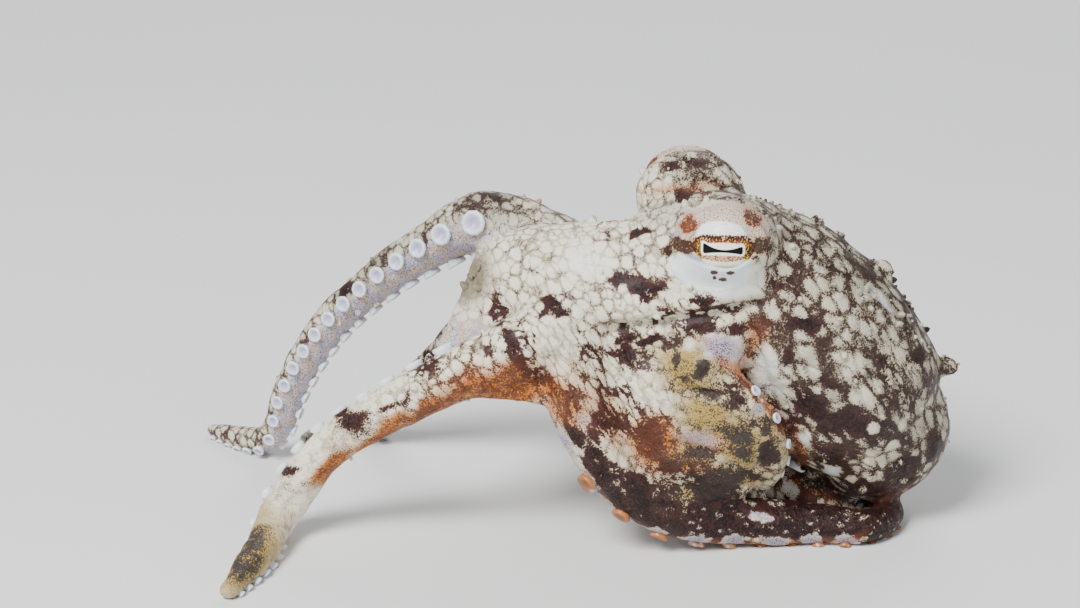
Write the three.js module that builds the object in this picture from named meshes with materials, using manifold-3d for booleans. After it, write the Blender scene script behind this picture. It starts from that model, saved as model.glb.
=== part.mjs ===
// A small veined octopus, life size, raised on its spread arms with the web held up like a tent.
// Millimetres, +Z up. The head is up front and left, the mantle hangs back and right, and the arms
// reach the floor at Z = 0. Every flesh piece is a swept body or a stretched web, cut to meet its
// neighbours at a thin parting gap.
import * as THREE from "three";
import { mergeVertices } from "three/addons/utils/BufferGeometryUtils.js";
import Module from "manifold-3d";

const wasm = await Module();
wasm.setup();

// ---- driving sizes, in millimetres unless the name says otherwise ----
const PARTING_GAP = 0.3;
const WEB_THICKNESS = 1.0;
const EYEBALL_RADIUS = 3.0;
const ORBIT_HALF = [4.4, 3.9, 3.8];
const EYE_SETTING = 1.15; // how far the eyeball's centre sits out from the orbit's
const ARM_SIDES = 7;
const ARM_STEP = 3.1; // length of arm between two rings of the sweep
const BODY_SIDES = 16;
const BODY_STEP = 2.7;
const HEAD_DEPTH = 1.2; // half height of the head over its half width
const SUCKER_SIDES = 5;
const SUCKER_SPACING = 4.6; // along an arm, alternating from side to side
const SUCKER_SHARE = 0.42; // sucker radius as a share of the arm's radius there
const SUCKER_SPLAY = 0.85; // radians from the middle of the oral side
const FIRST_SUCKER = 0.16; // share of the arm left bare at the crown
const ARM_FLATTENING = 0.92; // arm depth over arm width
const ORAL_TURN = 2; // how soon the suckers turn from their first direction to the last
const FIRST_CUT = 0.34; // share of an arm at which its base length ends
const SECOND_CUT = 0.66; // share at which its middle length ends

// ---- colours, taken over the whole piece ----
const SKIN = { color: 0x9c8574, roughness: 0.55, metalness: 0 };
const DARK_SKIN = { color: 0x5d4038, roughness: 0.55, metalness: 0 };
const WEB_SKIN = { color: 0xa87f5c, roughness: 0.5, metalness: 0 };
const FUNNEL_SKIN = { color: 0xb9b0b0, roughness: 0.5, metalness: 0 };
const EYE = { color: 0xb98d5a, roughness: 0.15, metalness: 0 };

// ---- the places: each row is x, y, z and the radius there ----
const MANTLE_ROWS = [
  [15.4, -2.3, 22.2, 5.7],
  [18.9, -1.3, 19.1, 7.0],
  [22.4, -0.4, 14.8, 7.7],
  [25.1, 0.3, 10.6, 7.7],
  [26.8, 0.7, 7.9, 6.4],
];
const HEAD_ROWS = [
  [-1.6, -0.8, 20.4, 3.7],
  [3.6, -1.6, 19.8, 4.7],
  [8.8, -2.4, 19.9, 5.3],
  [13.4, -2.5, 21.3, 5.7],
  [16.6, -2.0, 20.9, 5.1],
];
const FUNNEL_ROWS = [
  [16.4, -4.2, 17.0, 2.3],
  [14.4, -6.3, 16.9, 2.0],
  [12.6, -7.9, 16.2, 1.5],
];
const ORBITS = {
  eye_left: { at: [14.3, -6.0, 25.3], facing: [-0.05, -0.93, 0.32] },
  eye_right: { at: [12.0, 1.7, 26.6], facing: [-0.1, 0.9, 0.4] },
};

// A sweep ends in a flat cut, except where its end is rounded. oral gives the direction that the
// suckers face, at the arm's base and at its tip.
const DOWN = [0, 0, -1];
const ARMS = {
  l1: {
    oral: [[-0.3, 0.9, 0.3], DOWN],
    rows: [
      [5, -3, 19.5, 3.0],
      [0, -6, 17.2, 3.0],
      [-6, -6.4, 14.6, 2.3],
      [-12, -5.8, 11.3, 1.9],
      [-17.2, -4.8, 7.3, 1.75],
      [-20.6, -4.8, 2.6, 1.7],
      [-21.6, -9, 1.3, 1.5],
      [-22.6, -13.2, 1.05, 1.25],
      [-23.8, -16.9, 0.7, 0.85],
    ],
  },
  l2: {
    oral: [[-0.9, 0.25, -0.3], DOWN],
    rows: [
      [4, -4, 19, 3.0],
      [3.0, -6.2, 14.2, 3.0],
      [5.2, -7.6, 8.4, 2.8],
      [9.8, -7.3, 3.9, 2.4],
      [15.6, -6.2, 2.1, 2.0],
      [21.4, -5.4, 1.6, 1.85],
      [26.2, -5.4, 1.3, 1.5],
      [28.3, -2.2, 1.1, 1.3],
      [27.4, 1.8, 0.85, 1.0],
      [24, 4, 0.62, 0.75],
    ],
  },
  l3: {
    oral: [[0.7, 0.35, 0.5], DOWN],
    rows: [
      [8, -3.5, 16.5, 2.4],
      [12, -6.8, 15.4, 2.1],
      [15.6, -8.3, 12.8, 1.9],
      [17.8, -7.8, 9.5, 1.7],
      [17.8, -5, 6.0, 1.5],
      [15.6, -1.6, 3.2, 1.3],
      [12.6, 0.6, 1.2, 1.1],
      [10.2, 3.0, 0.75, 0.9],
      [9.6, 6.2, 0.54, 0.65],
    ],
  },
  l4: {
    oral: [[0.5, 0, -0.9], DOWN],
    rows: [
      [9, -1, 15, 2.2],
      [12.4, -0.6, 11, 2.0],
      [15.4, 0.2, 6, 1.8],
      [18.8, -0.6, 3.4, 1.8],
      [22.6, -1.4, 1.8, 1.6],
      [25.4, 1.8, 1.1, 1.3],
      [27, 6.6, 0.9, 1.05],
      [29.8, 11.4, 0.54, 0.65],
    ],
  },
  r4: {
    oral: [[0.3, -0.4, -0.9], DOWN],
    rows: [
      [9, 2, 15.5, 2.4],
      [12, 5, 11.5, 2.2],
      [15, 8.6, 6, 1.8],
      [18.6, 11.6, 1.8, 1.5],
      [23, 14.4, 1.05, 1.2],
      [27.6, 16.4, 0.77, 0.9],
      [31.6, 16.2, 0.54, 0.65],
    ],
  },
  r3: {
    oral: [[0, -0.6, -0.8], DOWN],
    rows: [
      [6, 3, 17, 2.8],
      [6, 7.5, 13, 2.5],
      [6.5, 12, 7, 2.1],
      [9, 15.6, 2.1, 1.7],
      [14, 17.6, 1.25, 1.4],
      [19, 19, 0.95, 1.1],
      [24, 20.6, 0.62, 0.75],
    ],
  },
  r2: {
    oral: [[0.3, -0.6, -0.7], DOWN],
    rows: [
      [4, 4, 19, 3.0],
      [-1, 8, 16.2, 2.6],
      [-6.5, 12, 11, 2.1],
      [-11.5, 15.6, 4.8, 1.7],
      [-14.6, 17.6, 1.3, 1.4],
      [-17.6, 17.6, 0.95, 1.1],
      [-20.2, 16.2, 0.62, 0.75],
    ],
  },
  r1: {
    oral: [[0, -0.8, -0.5], DOWN],
    rows: [
      [5, 2, 20.5, 3.0],
      [0, 3.4, 22.4, 3.0],
      [-4.4, 5, 23.6, 2.6],
      [-9.3, 7, 20.8, 2.0],
      [-14, 9, 16.9, 1.75],
      [-18.1, 10.7, 12.3, 1.6],
      [-21, 12, 7.2, 1.5],
      [-22.8, 13, 2.4, 1.35],
      [-25.4, 15.4, 0.98, 1.1],
      [-28.6, 18.6, 0.62, 0.75],
    ],
  },
};

// A web joins two neighbouring arms from the crown out to a share of each one's length. bulge lifts
// its middle along outward, and notch draws the middle of its free edge back towards the crown.
const WEB_START = 0.03;
const WEBS = [
  { arms: ["r1", "l1"], reach: [0.22, 0.32], bulge: 1.0, outward: [-0.8, -0.5, 0.3], notch: 0.08 },
  { arms: ["l1", "l2"], reach: [0.33, 0.155], bulge: 0.5, outward: [-0.3, -1, 0], notch: 0.04 },
  { arms: ["l2", "l3"], reach: [0.4, 0.52], bulge: 1.2, outward: [0.1, -1, 0], notch: 0 },
  { arms: ["l3", "l4"], reach: [0.25, 0.3], bulge: 0.2, outward: [0.5, -0.5, -0.5], notch: 0.2 },
  { arms: ["l4", "r4"], reach: [0.32, 0.32], bulge: 0.2, outward: [1, 0, 0], notch: 0.3 },
  { arms: ["r4", "r3"], reach: [0.36, 0.36], bulge: 0.8, outward: [0.4, 1, 0], notch: 0.3 },
  { arms: ["r3", "r2"], reach: [0.36, 0.36], bulge: 1.0, outward: [-0.3, 1, 0.1], notch: 0.3 },
  { arms: ["r2", "r1"], reach: [0.36, 0.36], bulge: 1.0, outward: [-0.6, 0.7, 0.4], notch: 0.35 },
];
const WEB_ALONG = 5;
const WEB_ACROSS = 5;

// Two soft flaps of skin that stand on the back of the mantle: centre, half sizes and lean.
const MANTLE_FLAPS = [
  { at: [27.2, -0.6, 21.4], half: [1.15, 0.5, 0.8], lean: 0.6 },
  { at: [32.8, 0.4, 12.8], half: [1.1, 0.55, 0.9], lean: 0.2 },
];

// ---- sweeps ----

// The curve through the rows, as a centre and a radius at any share t of its length.
function spineOf(rows) {
  const centres = new THREE.CatmullRomCurve3(
    rows.map(([x, y, z]) => new THREE.Vector3(x, y, z)), false, "catmullrom", 0.5);
  const radii = new THREE.CatmullRomCurve3(
    rows.map((row) => new THREE.Vector3(row[3], 0, 0)), false, "catmullrom", 0.5);
  const at = (t) => centres.getPoint(t);
  const length = centres.getLength();
  return { at, radius: (t) => radii.getPoint(t).x, tangent: (t) => centres.getTangent(t), length };
}

// Axes across the spine at t: down points to the oral side and side lies along the arm's width.
function crossAxes(spine, oral, t) {
  const tangent = spine.tangent(t);
  const turned = Math.min(1, t ** 4 * ORAL_TURN);
  const hint = new THREE.Vector3(...oral[0]).lerp(new THREE.Vector3(...oral[1]), turned);
  const down = hint.addScaledVector(tangent, -hint.dot(tangent)).normalize();
  return { tangent, down, side: new THREE.Vector3().crossVectors(tangent, down) };
}

// A closed tube along the spine from t0 to t1: a capped cylinder bent to the curve, whose rings take
// the radius of the spine. round adds a domed end to either side.
function sweep(spine, oral, t0, t1, options = {}) {
  const { sides = ARM_SIDES, step = ARM_STEP, grow = 0, flatten = 1, round = [false, false] } = options;
  const rings = Math.max(2, Math.round(((t1 - t0) * spine.length) / step));
  const stations = [];
  const DOME = [0.2, 0.72]; // sines of the rings of a dome, from its pole outwards
  if (round[0])
    DOME.forEach((share) => stations.push({ t: t0, share, ahead: -Math.sqrt(1 - share * share) }));
  for (let i = 0; i <= rings; i++) stations.push({ t: t0 + ((t1 - t0) * i) / rings, share: 1, ahead: 0 });
  if (round[1])
    [...DOME].reverse().forEach((share) => stations.push({ t: t1, share, ahead: Math.sqrt(1 - share * share) }));
  const tube = new THREE.CylinderGeometry(1, 1, 1, sides, stations.length - 1);
  const place = tube.getAttribute("position");
  for (let i = 0; i < place.count; i++) {
    const ring = Math.round((0.5 - place.getY(i)) * (stations.length - 1));
    const { t, share, ahead } = stations[ring];
    const { tangent, down, side } = crossAxes(spine, oral, t);
    const radius = spine.radius(t) + grow;
    const point = spine.at(t)
      .addScaledVector(tangent, ahead * radius)
      .addScaledVector(side, -place.getX(i) * share * radius)
      .addScaledVector(down, place.getZ(i) * share * radius * flatten);
    place.setXYZ(i, point.x, point.y, point.z);
  }
  return solidFrom(tube);
}

// ---- solids ----

function solidFrom(geometry) {
  const bare = geometry.index ? geometry.toNonIndexed() : geometry.clone();
  const positions = new THREE.BufferGeometry().setAttribute("position", bare.getAttribute("position"));
  const merged = mergeVertices(positions, 1e-4);
  const make = (order) => new wasm.Manifold(new wasm.Mesh({
    numProp: 3,
    vertProperties: merged.attributes.position.array,
    triVerts: order,
  }));
  const order = new Uint32Array(merged.index.array);
  const solid = make(order);
  return solid.volume() > 0 ? solid : make(order.reverse());
}

function ellipsoid(centre, half, lean = 0, rings = 8) {
  const ball = new THREE.SphereGeometry(1, Math.round(rings * 1.6), rings);
  ball.scale(...half);
  ball.rotateY(lean);
  ball.translate(...centre);
  return solidFrom(ball);
}

// What is left of a solid once its neighbours are cut away: its largest piece.
function trimmed(solid, cutters) {
  const cut = cutters.reduce((left, cutter) => left.subtract(cutter), solid);
  return cut.decompose().sort((a, b) => b.volume() - a.volume())[0];
}

// ---- the arms ----

// Both rows of suckers, as short cups that stand on the oral side. Those that fit whole between t0
// and t1 are made.
function suckersOn(spine, oral, t0, t1, grow) {
  const cups = [];
  const count = Math.round(((1 - FIRST_SUCKER) * spine.length) / SUCKER_SPACING);
  for (let i = 0; i < count; i++) {
    const t = FIRST_SUCKER + ((1 - FIRST_SUCKER) * (i + 0.5)) / count;
    const margin = (spine.radius(t) * SUCKER_SHARE + PARTING_GAP) / spine.length;
    if (t < t0 + margin || t > t1 - margin) continue;
    const { down, side } = crossAxes(spine, oral, t);
    const splay = i % 2 ? SUCKER_SPLAY : -SUCKER_SPLAY;
    const outward = down.clone().multiplyScalar(Math.cos(splay)).addScaledVector(side, Math.sin(splay));
    const radius = spine.radius(t) * SUCKER_SHARE + grow;
    const cup = new THREE.CylinderGeometry(radius, radius * 0.8, radius * 1.5, SUCKER_SIDES);
    cup.applyQuaternion(new THREE.Quaternion().setFromUnitVectors(new THREE.Vector3(0, 1, 0), outward));
    const centre = spine.at(t).addScaledVector(outward, spine.radius(t) * 0.88);
    cup.translate(centre.x, centre.y, centre.z);
    cups.push(solidFrom(cup));
  }
  return cups;
}

function armLength(arm, t0, t1, grow = 0) {
  const spine = spineOf(arm.rows);
  const round = [false, t1 === 1];
  const body = sweep(spine, arm.oral, t0, t1, { flatten: ARM_FLATTENING, round, grow });
  return suckersOn(spine, arm.oral, t0, t1, grow).reduce((all, cup) => all.add(cup), body);
}

// ---- the web ----

// A thin curved sheet: a flat box whose long faces are moved to either side of the surface that
// joins the two arms. u runs from the crown to the free edge, and v from one arm to the other.
function webSheet({ arms, reach, bulge, outward, notch }, grow = 0) {
  const [first, second] = arms.map((name) => spineOf(ARMS[name].rows));
  const lift = new THREE.Vector3(...outward).normalize();
  const surface = (u, v) => {
    const far = 1 - notch * 4 * v * (1 - v);
    const share = (limit) => WEB_START + (limit - WEB_START) * u * far;
    return first.at(share(reach[0])).lerp(second.at(share(reach[1])), v)
      .addScaledVector(lift, bulge * Math.sin(Math.PI * v));
  };
  const NEAR = 0.01;
  const normalAt = (u, v) => {
    const [u0, v0] = [Math.min(u, 1 - NEAR), Math.min(v, 1 - NEAR)];
    const corner = surface(u0, v0);
    const along = surface(u0 + NEAR, v0).sub(corner);
    return along.cross(surface(u0, v0 + NEAR).sub(corner)).normalize();
  };
  const sheet = new THREE.BoxGeometry(1, 1, 1, WEB_ALONG, WEB_ACROSS, 1);
  const place = sheet.getAttribute("position");
  for (let i = 0; i < place.count; i++) {
    const [u, v] = [place.getX(i) + 0.5, place.getY(i) + 0.5];
    const depth = place.getZ(i) * (WEB_THICKNESS + grow);
    const point = surface(u, v).addScaledVector(normalAt(u, v), depth);
    place.setXYZ(i, point.x, point.y, point.z);
  }
  return solidFrom(sheet);
}

// ---- the whole animal ----

const floorBlock = new THREE.BoxGeometry(200, 200, 20).translate(0, 0, -10);
const underFloor = solidFrom(floorBlock);
const NO_ORAL = [DOWN, DOWN];
const solids = new Map();
const looks = new Map();
const keep = (name, solid, look) => {
  solids.set(name, solid);
  looks.set(name, look);
};

const bodySweep = (rows, grow, flatten, round) => sweep(spineOf(rows), NO_ORAL, 0, 1,
  { sides: BODY_SIDES, step: BODY_STEP, grow, flatten, round });
const mantleSweep = (grow) => bodySweep(MANTLE_ROWS, grow, 1, [false, true]);
const headSweep = (grow) => Object.values(ORBITS).reduce(
  (all, { at }) => all.add(ellipsoid(at, ORBIT_HALF.map((half) => half + grow))),
  bodySweep(HEAD_ROWS, grow, HEAD_DEPTH, [true, true]));
const funnelSweep = (grow) => sweep(spineOf(FUNNEL_ROWS), NO_ORAL, 0, 1, { sides: 10, step: 1.4, grow });

const eyeSockets = [];
for (const [name, { at, facing }] of Object.entries(ORBITS)) {
  const toward = new THREE.Vector3(...facing).setLength(EYE_SETTING);
  const centre = new THREE.Vector3(...at).add(toward).toArray();
  const eyeball = (radius) => ellipsoid(centre, [radius, radius, radius]);
  keep(name, eyeball(EYEBALL_RADIUS), EYE);
  eyeSockets.push(eyeball(EYEBALL_RADIUS + PARTING_GAP));
}

keep("head", trimmed(headSweep(0), eyeSockets), SKIN);
const fatHead = headSweep(PARTING_GAP);
const flaps = MANTLE_FLAPS.map(({ at, half, lean }) => ellipsoid(at, half, lean, 6));
const wholeMantle = flaps.reduce((all, flap) => all.add(flap), mantleSweep(0));
keep("mantle", trimmed(wholeMantle, [fatHead, ...eyeSockets]), SKIN);
const fatMantle = mantleSweep(PARTING_GAP);
keep("funnel", trimmed(funnelSweep(0), [fatHead, fatMantle]), FUNNEL_SKIN);

const inTheWay = [fatHead, fatMantle, funnelSweep(PARTING_GAP), underFloor];
const fatArms = [];
for (const [name, arm] of Object.entries(ARMS)) {
  const half = PARTING_GAP / 2 / spineOf(arm.rows).length;
  const cuts = { base: [0, FIRST_CUT - half], mid: [FIRST_CUT + half, SECOND_CUT - half], tip: [SECOND_CUT + half, 1] };
  const look = name === "l2" ? DARK_SKIN : SKIN;
  for (const [part, [t0, t1]] of Object.entries(cuts))
    keep(`arm_${name}_${part}`, trimmed(armLength(arm, t0, t1), [...inTheWay, ...fatArms]), look);
  fatArms.push(Object.values(cuts).reduce(
    (all, [t0, t1]) => all.add(armLength(arm, t0, t1, PARTING_GAP)),
    armLength(arm, 0, 1, PARTING_GAP)));
}
for (const web of WEBS)
  keep(`web_${web.arms.join("_")}`, trimmed(webSheet(web), [...inTheWay, ...fatArms]), WEB_SKIN);

// ---- the scene graph, moved so that the origin is under the middle of the animal ----

function meshOf(name, solid) {
  const { vertProperties, triVerts } = solid.getMesh();
  const geometry = new THREE.BufferGeometry();
  geometry.setAttribute("position", new THREE.BufferAttribute(vertProperties, 3));
  geometry.setIndex(new THREE.BufferAttribute(triVerts, 1));
  geometry.computeVertexNormals();
  const mesh = new THREE.Mesh(geometry, new THREE.MeshStandardMaterial(looks.get(name)));
  mesh.name = name;
  return mesh;
}

const octopus = new THREE.Group();
for (const [name, solid] of solids) octopus.add(meshOf(name, solid));
const extent = new THREE.Box3().setFromObject(octopus);
const middle = extent.getCenter(new THREE.Vector3());
octopus.position.set(-middle.x, -middle.y, -extent.min.z);

export default octopus;
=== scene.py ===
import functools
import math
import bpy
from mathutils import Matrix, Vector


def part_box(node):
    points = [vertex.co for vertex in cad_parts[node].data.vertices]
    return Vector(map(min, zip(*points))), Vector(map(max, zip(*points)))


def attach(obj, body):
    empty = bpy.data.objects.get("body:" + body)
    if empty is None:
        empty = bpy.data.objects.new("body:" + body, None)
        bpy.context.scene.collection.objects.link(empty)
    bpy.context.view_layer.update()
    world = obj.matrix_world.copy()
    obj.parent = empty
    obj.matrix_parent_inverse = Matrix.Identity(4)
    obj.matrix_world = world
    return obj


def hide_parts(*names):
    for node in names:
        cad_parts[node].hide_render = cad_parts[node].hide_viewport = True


bl_info = {
    "name": "Veined octopus",
    "version": (1, 0, 0),
    "blender": (4, 5, 0),
    "location": "3D View > Sidebar > Octopus",
    "description": "Builds the skin, suckers, eyes and setting of a small veined octopus",
    "category": "Add Mesh",
}

import bpy
import numpy as np
from mathutils import Vector

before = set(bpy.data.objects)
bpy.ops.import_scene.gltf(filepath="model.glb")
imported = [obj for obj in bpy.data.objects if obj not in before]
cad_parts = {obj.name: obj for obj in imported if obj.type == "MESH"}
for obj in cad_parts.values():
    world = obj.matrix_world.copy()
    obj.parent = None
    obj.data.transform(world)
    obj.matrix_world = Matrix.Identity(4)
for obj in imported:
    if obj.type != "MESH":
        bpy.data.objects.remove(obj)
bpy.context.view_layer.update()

# Places and sizes, in millimetres, in the frame that the solids were drawn in. Each row is
# x, y, z and the radius there.

MM = 0.001
PER_MM = 1000.0
MANTLE_ROWS = np.array([
    [15.4, -2.3, 22.2, 5.7],
    [18.9, -1.3, 19.1, 7.0],
    [22.4, -0.4, 14.8, 7.7],
    [25.1, 0.3, 10.6, 7.7],
    [26.8, 0.7, 7.9, 6.4],
])
HEAD_ROWS = np.array([
    [-1.6, -0.8, 20.4, 3.7],
    [3.6, -1.6, 19.8, 4.7],
    [8.8, -2.4, 19.9, 5.3],
    [13.4, -2.5, 21.3, 5.7],
    [16.6, -2.0, 20.9, 5.1],
])
HEAD_DEPTH = 1.2
FUNNEL_ROWS = np.array([
    [16.4, -4.2, 17.0, 2.3],
    [14.4, -6.3, 16.9, 2.0],
    [12.6, -7.9, 16.2, 1.5],
])
ORBIT_HALF = (4.4, 3.9, 3.8)
ORBITS = {
    "eye_left": {
        "at": (14.3, -6.0, 25.3), "facing": (-0.05, -0.93, 0.32), "gaze": (-0.11, -1, 0.055)},
    "eye_right": {
        "at": (12.0, 1.7, 26.6), "facing": (-0.1, 0.9, 0.4), "gaze": (-0.11, 1, 0.2)},
}
EYEBALL_RADIUS = 3.0
EYE_SETTING = 1.15
FLAPS = [
    {"at": (27.2, -0.6, 21.4), "half": (1.15, 0.5, 0.8), "lean": 0.6},
    {"at": (32.8, 0.4, 12.8), "half": (1.1, 0.55, 0.9), "lean": 0.2},
]
DOWN = (0.0, 0.0, -1.0)
ORAL_TURN = 2.0
ARM_FLATTENING = 0.92
ARMS = {
    "l1": {"oral": ((-0.3, 0.9, 0.3), DOWN), "rows": [
        [5, -3, 19.5, 3.0], [0, -6, 17.2, 3.0], [-6, -6.4, 14.6, 2.3], [-12, -5.8, 11.3, 1.9],
        [-17.2, -4.8, 7.3, 1.75], [-20.6, -4.8, 2.6, 1.7], [-21.6, -9, 1.3, 1.5],
        [-22.6, -13.2, 1.05, 1.25], [-23.8, -16.9, 0.7, 0.85]]},
    "l2": {"oral": ((-0.9, 0.25, -0.3), DOWN), "rows": [
        [4, -4, 19, 3.0], [3.0, -6.2, 14.2, 3.0], [5.2, -7.6, 8.4, 2.8], [9.8, -7.3, 3.9, 2.4],
        [15.6, -6.2, 2.1, 2.0], [21.4, -5.4, 1.6, 1.85], [26.2, -5.4, 1.3, 1.5],
        [28.3, -2.2, 1.1, 1.3], [27.4, 1.8, 0.85, 1.0], [24, 4, 0.62, 0.75]]},
    "l3": {"oral": ((0.7, 0.35, 0.5), DOWN), "rows": [
        [8, -3.5, 16.5, 2.4], [12, -6.8, 15.4, 2.1], [15.6, -8.3, 12.8, 1.9],
        [17.8, -7.8, 9.5, 1.7], [17.8, -5, 6.0, 1.5], [15.6, -1.6, 3.2, 1.3],
        [12.6, 0.6, 1.2, 1.1], [10.2, 3.0, 0.75, 0.9], [9.6, 6.2, 0.54, 0.65]]},
    "l4": {"oral": ((0.5, 0, -0.9), DOWN), "rows": [
        [9, -1, 15, 2.2], [12.4, -0.6, 11, 2.0], [15.4, 0.2, 6, 1.8], [18.8, -0.6, 3.4, 1.8],
        [22.6, -1.4, 1.8, 1.6], [25.4, 1.8, 1.1, 1.3], [27, 6.6, 0.9, 1.05],
        [29.8, 11.4, 0.54, 0.65]]},
    "r4": {"oral": ((0.3, -0.4, -0.9), DOWN), "rows": [
        [9, 2, 15.5, 2.4], [12, 5, 11.5, 2.2], [15, 8.6, 6, 1.8], [18.6, 11.6, 1.8, 1.5],
        [23, 14.4, 1.05, 1.2], [27.6, 16.4, 0.77, 0.9], [31.6, 16.2, 0.54, 0.65]]},
    "r3": {"oral": ((0, -0.6, -0.8), DOWN), "rows": [
        [6, 3, 17, 2.8], [6, 7.5, 13, 2.5], [6.5, 12, 7, 2.1], [9, 15.6, 2.1, 1.7],
        [14, 17.6, 1.25, 1.4], [19, 19, 0.95, 1.1], [24, 20.6, 0.62, 0.75]]},
    "r2": {"oral": ((0.3, -0.6, -0.7), DOWN), "rows": [
        [4, 4, 19, 3.0], [-1, 8, 16.2, 2.6], [-6.5, 12, 11, 2.1], [-11.5, 15.6, 4.8, 1.7],
        [-14.6, 17.6, 1.3, 1.4], [-17.6, 17.6, 0.95, 1.1], [-20.2, 16.2, 0.62, 0.75]]},
    "r1": {"oral": ((0, -0.8, -0.5), DOWN), "rows": [
        [5, 2, 20.5, 3.0], [0, 3.4, 22.4, 3.0], [-4.4, 5, 23.6, 2.6], [-9.3, 7, 20.8, 2.0],
        [-14, 9, 16.9, 1.75], [-18.1, 10.7, 12.3, 1.6], [-21, 12, 7.2, 1.5],
        [-22.8, 13, 2.4, 1.35], [-25.4, 15.4, 0.98, 1.1], [-28.6, 18.6, 0.62, 0.75]]},
}
WEB_START = 0.03
# Each web's two arms, how far along them it reaches, how far it bulges and which way, and how
# deep its free edge is cut in.
WEBS = [dict(zip(("arms", "reach", "bulge", "outward", "notch"), row)) for row in (
    (("r1", "l1"), (0.22, 0.32), 1.0, (-0.8, -0.5, 0.3), 0.08),
    (("l1", "l2"), (0.33, 0.155), 0.5, (-0.3, -1, 0), 0.04),
    (("l2", "l3"), (0.4, 0.52), 1.2, (0.1, -1, 0), 0.0),
    (("l3", "l4"), (0.25, 0.3), 0.2, (0.5, -0.5, -0.5), 0.2),
    (("l4", "r4"), (0.32, 0.32), 0.2, (1, 0, 0), 0.3),
    (("r4", "r3"), (0.36, 0.36), 0.8, (0.4, 1, 0), 0.3),
    (("r3", "r2"), (0.36, 0.36), 1.0, (-0.3, 1, 0.1), 0.3),
    (("r2", "r1"), (0.36, 0.36), 1.0, (-0.6, 0.7, 0.4), 0.35),
)]

# The view: a level camera turned down by ELEVATION, with PIXELS_PER_MM in its frame at TARGET.
VIEW_SIZE = (1080, 608)
PIXELS_PER_MM = 12.5
ELEVATION = math.radians(18)
CAMERA_DISTANCE = 250.0
TARGET = np.array([0.0, 0.0, 18.2])
SENSOR_WIDTH = 36.0
FORWARD = np.array([0.0, math.cos(ELEVATION), -math.sin(ELEVATION)])
UPWARD = np.array([0.0, math.sin(ELEVATION), math.cos(ELEVATION)])
CAMERA_AT = TARGET - FORWARD * CAMERA_DISTANCE


def unit(vectors):
    """Vectors over their lengths."""
    vectors = np.asarray(vectors, float)
    return vectors / np.maximum(np.linalg.norm(vectors, axis=-1, keepdims=True), 1e-9)


def eyeball_centre(eye):
    """The orbit's centre, moved out along the way the eye faces."""
    return np.array(ORBITS[eye]["at"]) + unit(ORBITS[eye]["facing"]) * EYE_SETTING


def frame_shift():
    """From the drawing's frame to the part's: what brings the left eyeball onto its solid."""
    low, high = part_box("eye_left")
    return (np.array(low) + np.array(high)) / 2 / MM - eyeball_centre("eye_left")


SHIFT = frame_shift()


# --- Whole-array shapes ---

def smoothstep(low, high, value):
    """0 below low, 1 above high and 3s^2 - 2s^3 between them."""
    share = np.clip((value - low) / (high - low), 0, 1)
    return share * share * (3 - 2 * share)


def bell(value, centre, width):
    """e to the minus square of the distance from the centre, in widths."""
    return np.exp(-((value - centre) / width) ** 2)


def around(count):
    """The angles of a full turn in equal steps."""
    return np.linspace(0, 2 * math.pi, count, endpoint=False)


def spline(rows, t):
    """A uniform Catmull-Rom curve through the rows, at shares t, with its ends run on straight."""
    rows = np.asarray(rows, float)
    run = np.vstack([2 * rows[0] - rows[1], rows, 2 * rows[-1] - rows[-2]])
    place = np.clip(t, 0, 1) * (len(rows) - 1)
    span = np.minimum(place.astype(int), len(rows) - 2)
    w = (place - span)[..., None]
    a, b, c, d = (run[span + k] for k in range(4))
    bend = (2 * a - 5 * b + 4 * c - d) * w ** 2 + (3 * b - a - 3 * c + d) * w ** 3
    return 0.5 * (2 * b + (c - a) * w + bend)


CURVE_SAMPLES = 200
DOME_RINGS = 6


def spline_length(rows):
    """The sum of the chords between many points of the curve."""
    points = spline(rows, np.linspace(0, 1, CURVE_SAMPLES))[:, :3]
    return np.linalg.norm(np.diff(points, axis=0), axis=1).sum()


def cross_axes(rows, oral, t):
    """The tangent, the part across it of a direction that swings from the first oral direction to
    the second by ORAL_TURN t^4, and the direction across both."""
    step = 1e-3
    ahead = spline(rows, np.clip(t + step, 0, 1)) - spline(rows, np.clip(t - step, 0, 1))
    tangent = unit(ahead[..., :3])
    turned = np.minimum(1, t ** 4 * ORAL_TURN)[..., None]
    hint = np.array(oral[0], float) * (1 - turned) + np.array(oral[1], float) * turned
    down = unit(hint - (hint * tangent).sum(-1, keepdims=True) * tangent)
    return tangent, down, np.cross(tangent, down)


def grid_faces(rows, columns, closed=True):
    """Quads that join each point of a grid to its next row and column."""
    i = np.arange(rows - 1)[:, None]
    j = np.arange(columns if closed else columns - 1)[None, :]
    k = (j + 1) % columns
    corners = [i * columns + j, i * columns + k, (i + 1) * columns + k, (i + 1) * columns + j]
    return np.stack(corners, -1).reshape(-1, 4)


def sweep(rows, oral=(DOWN, DOWN), sides=32, step=0.5, flatten=1.0):
    """A tube round the rows' curve. A ring's point at angle a lies at the radius times cos a
    across and flatten sin a down. Each end is a dome: its rings shrink by the cosine of a quarter
    turn while they move out by its sine."""
    quarter = np.linspace(0, math.pi / 2, DOME_RINGS + 1)[1:]
    count = int(spline_length(rows) / step)
    t = np.concatenate([np.zeros(DOME_RINGS), np.linspace(0, 1, count), np.ones(DOME_RINGS)])
    share = np.concatenate([np.cos(quarter)[::-1], np.ones(count), np.cos(quarter)])
    ahead = np.concatenate([-np.sin(quarter)[::-1], np.zeros(count), np.sin(quarter)])
    curve = spline(rows, t)
    tangent, down, side = cross_axes(rows, oral, t)
    angle = around(sides)[None, :, None]
    across = np.cos(angle) * side[:, None] + flatten * np.sin(angle) * down[:, None]
    ring = share[:, None, None] * across + (ahead[:, None] * tangent)[:, None]
    points = curve[:, None, :3] + curve[:, None, 3:4] * ring
    return points.reshape(-1, 3), grid_faces(len(t), sides)


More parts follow.
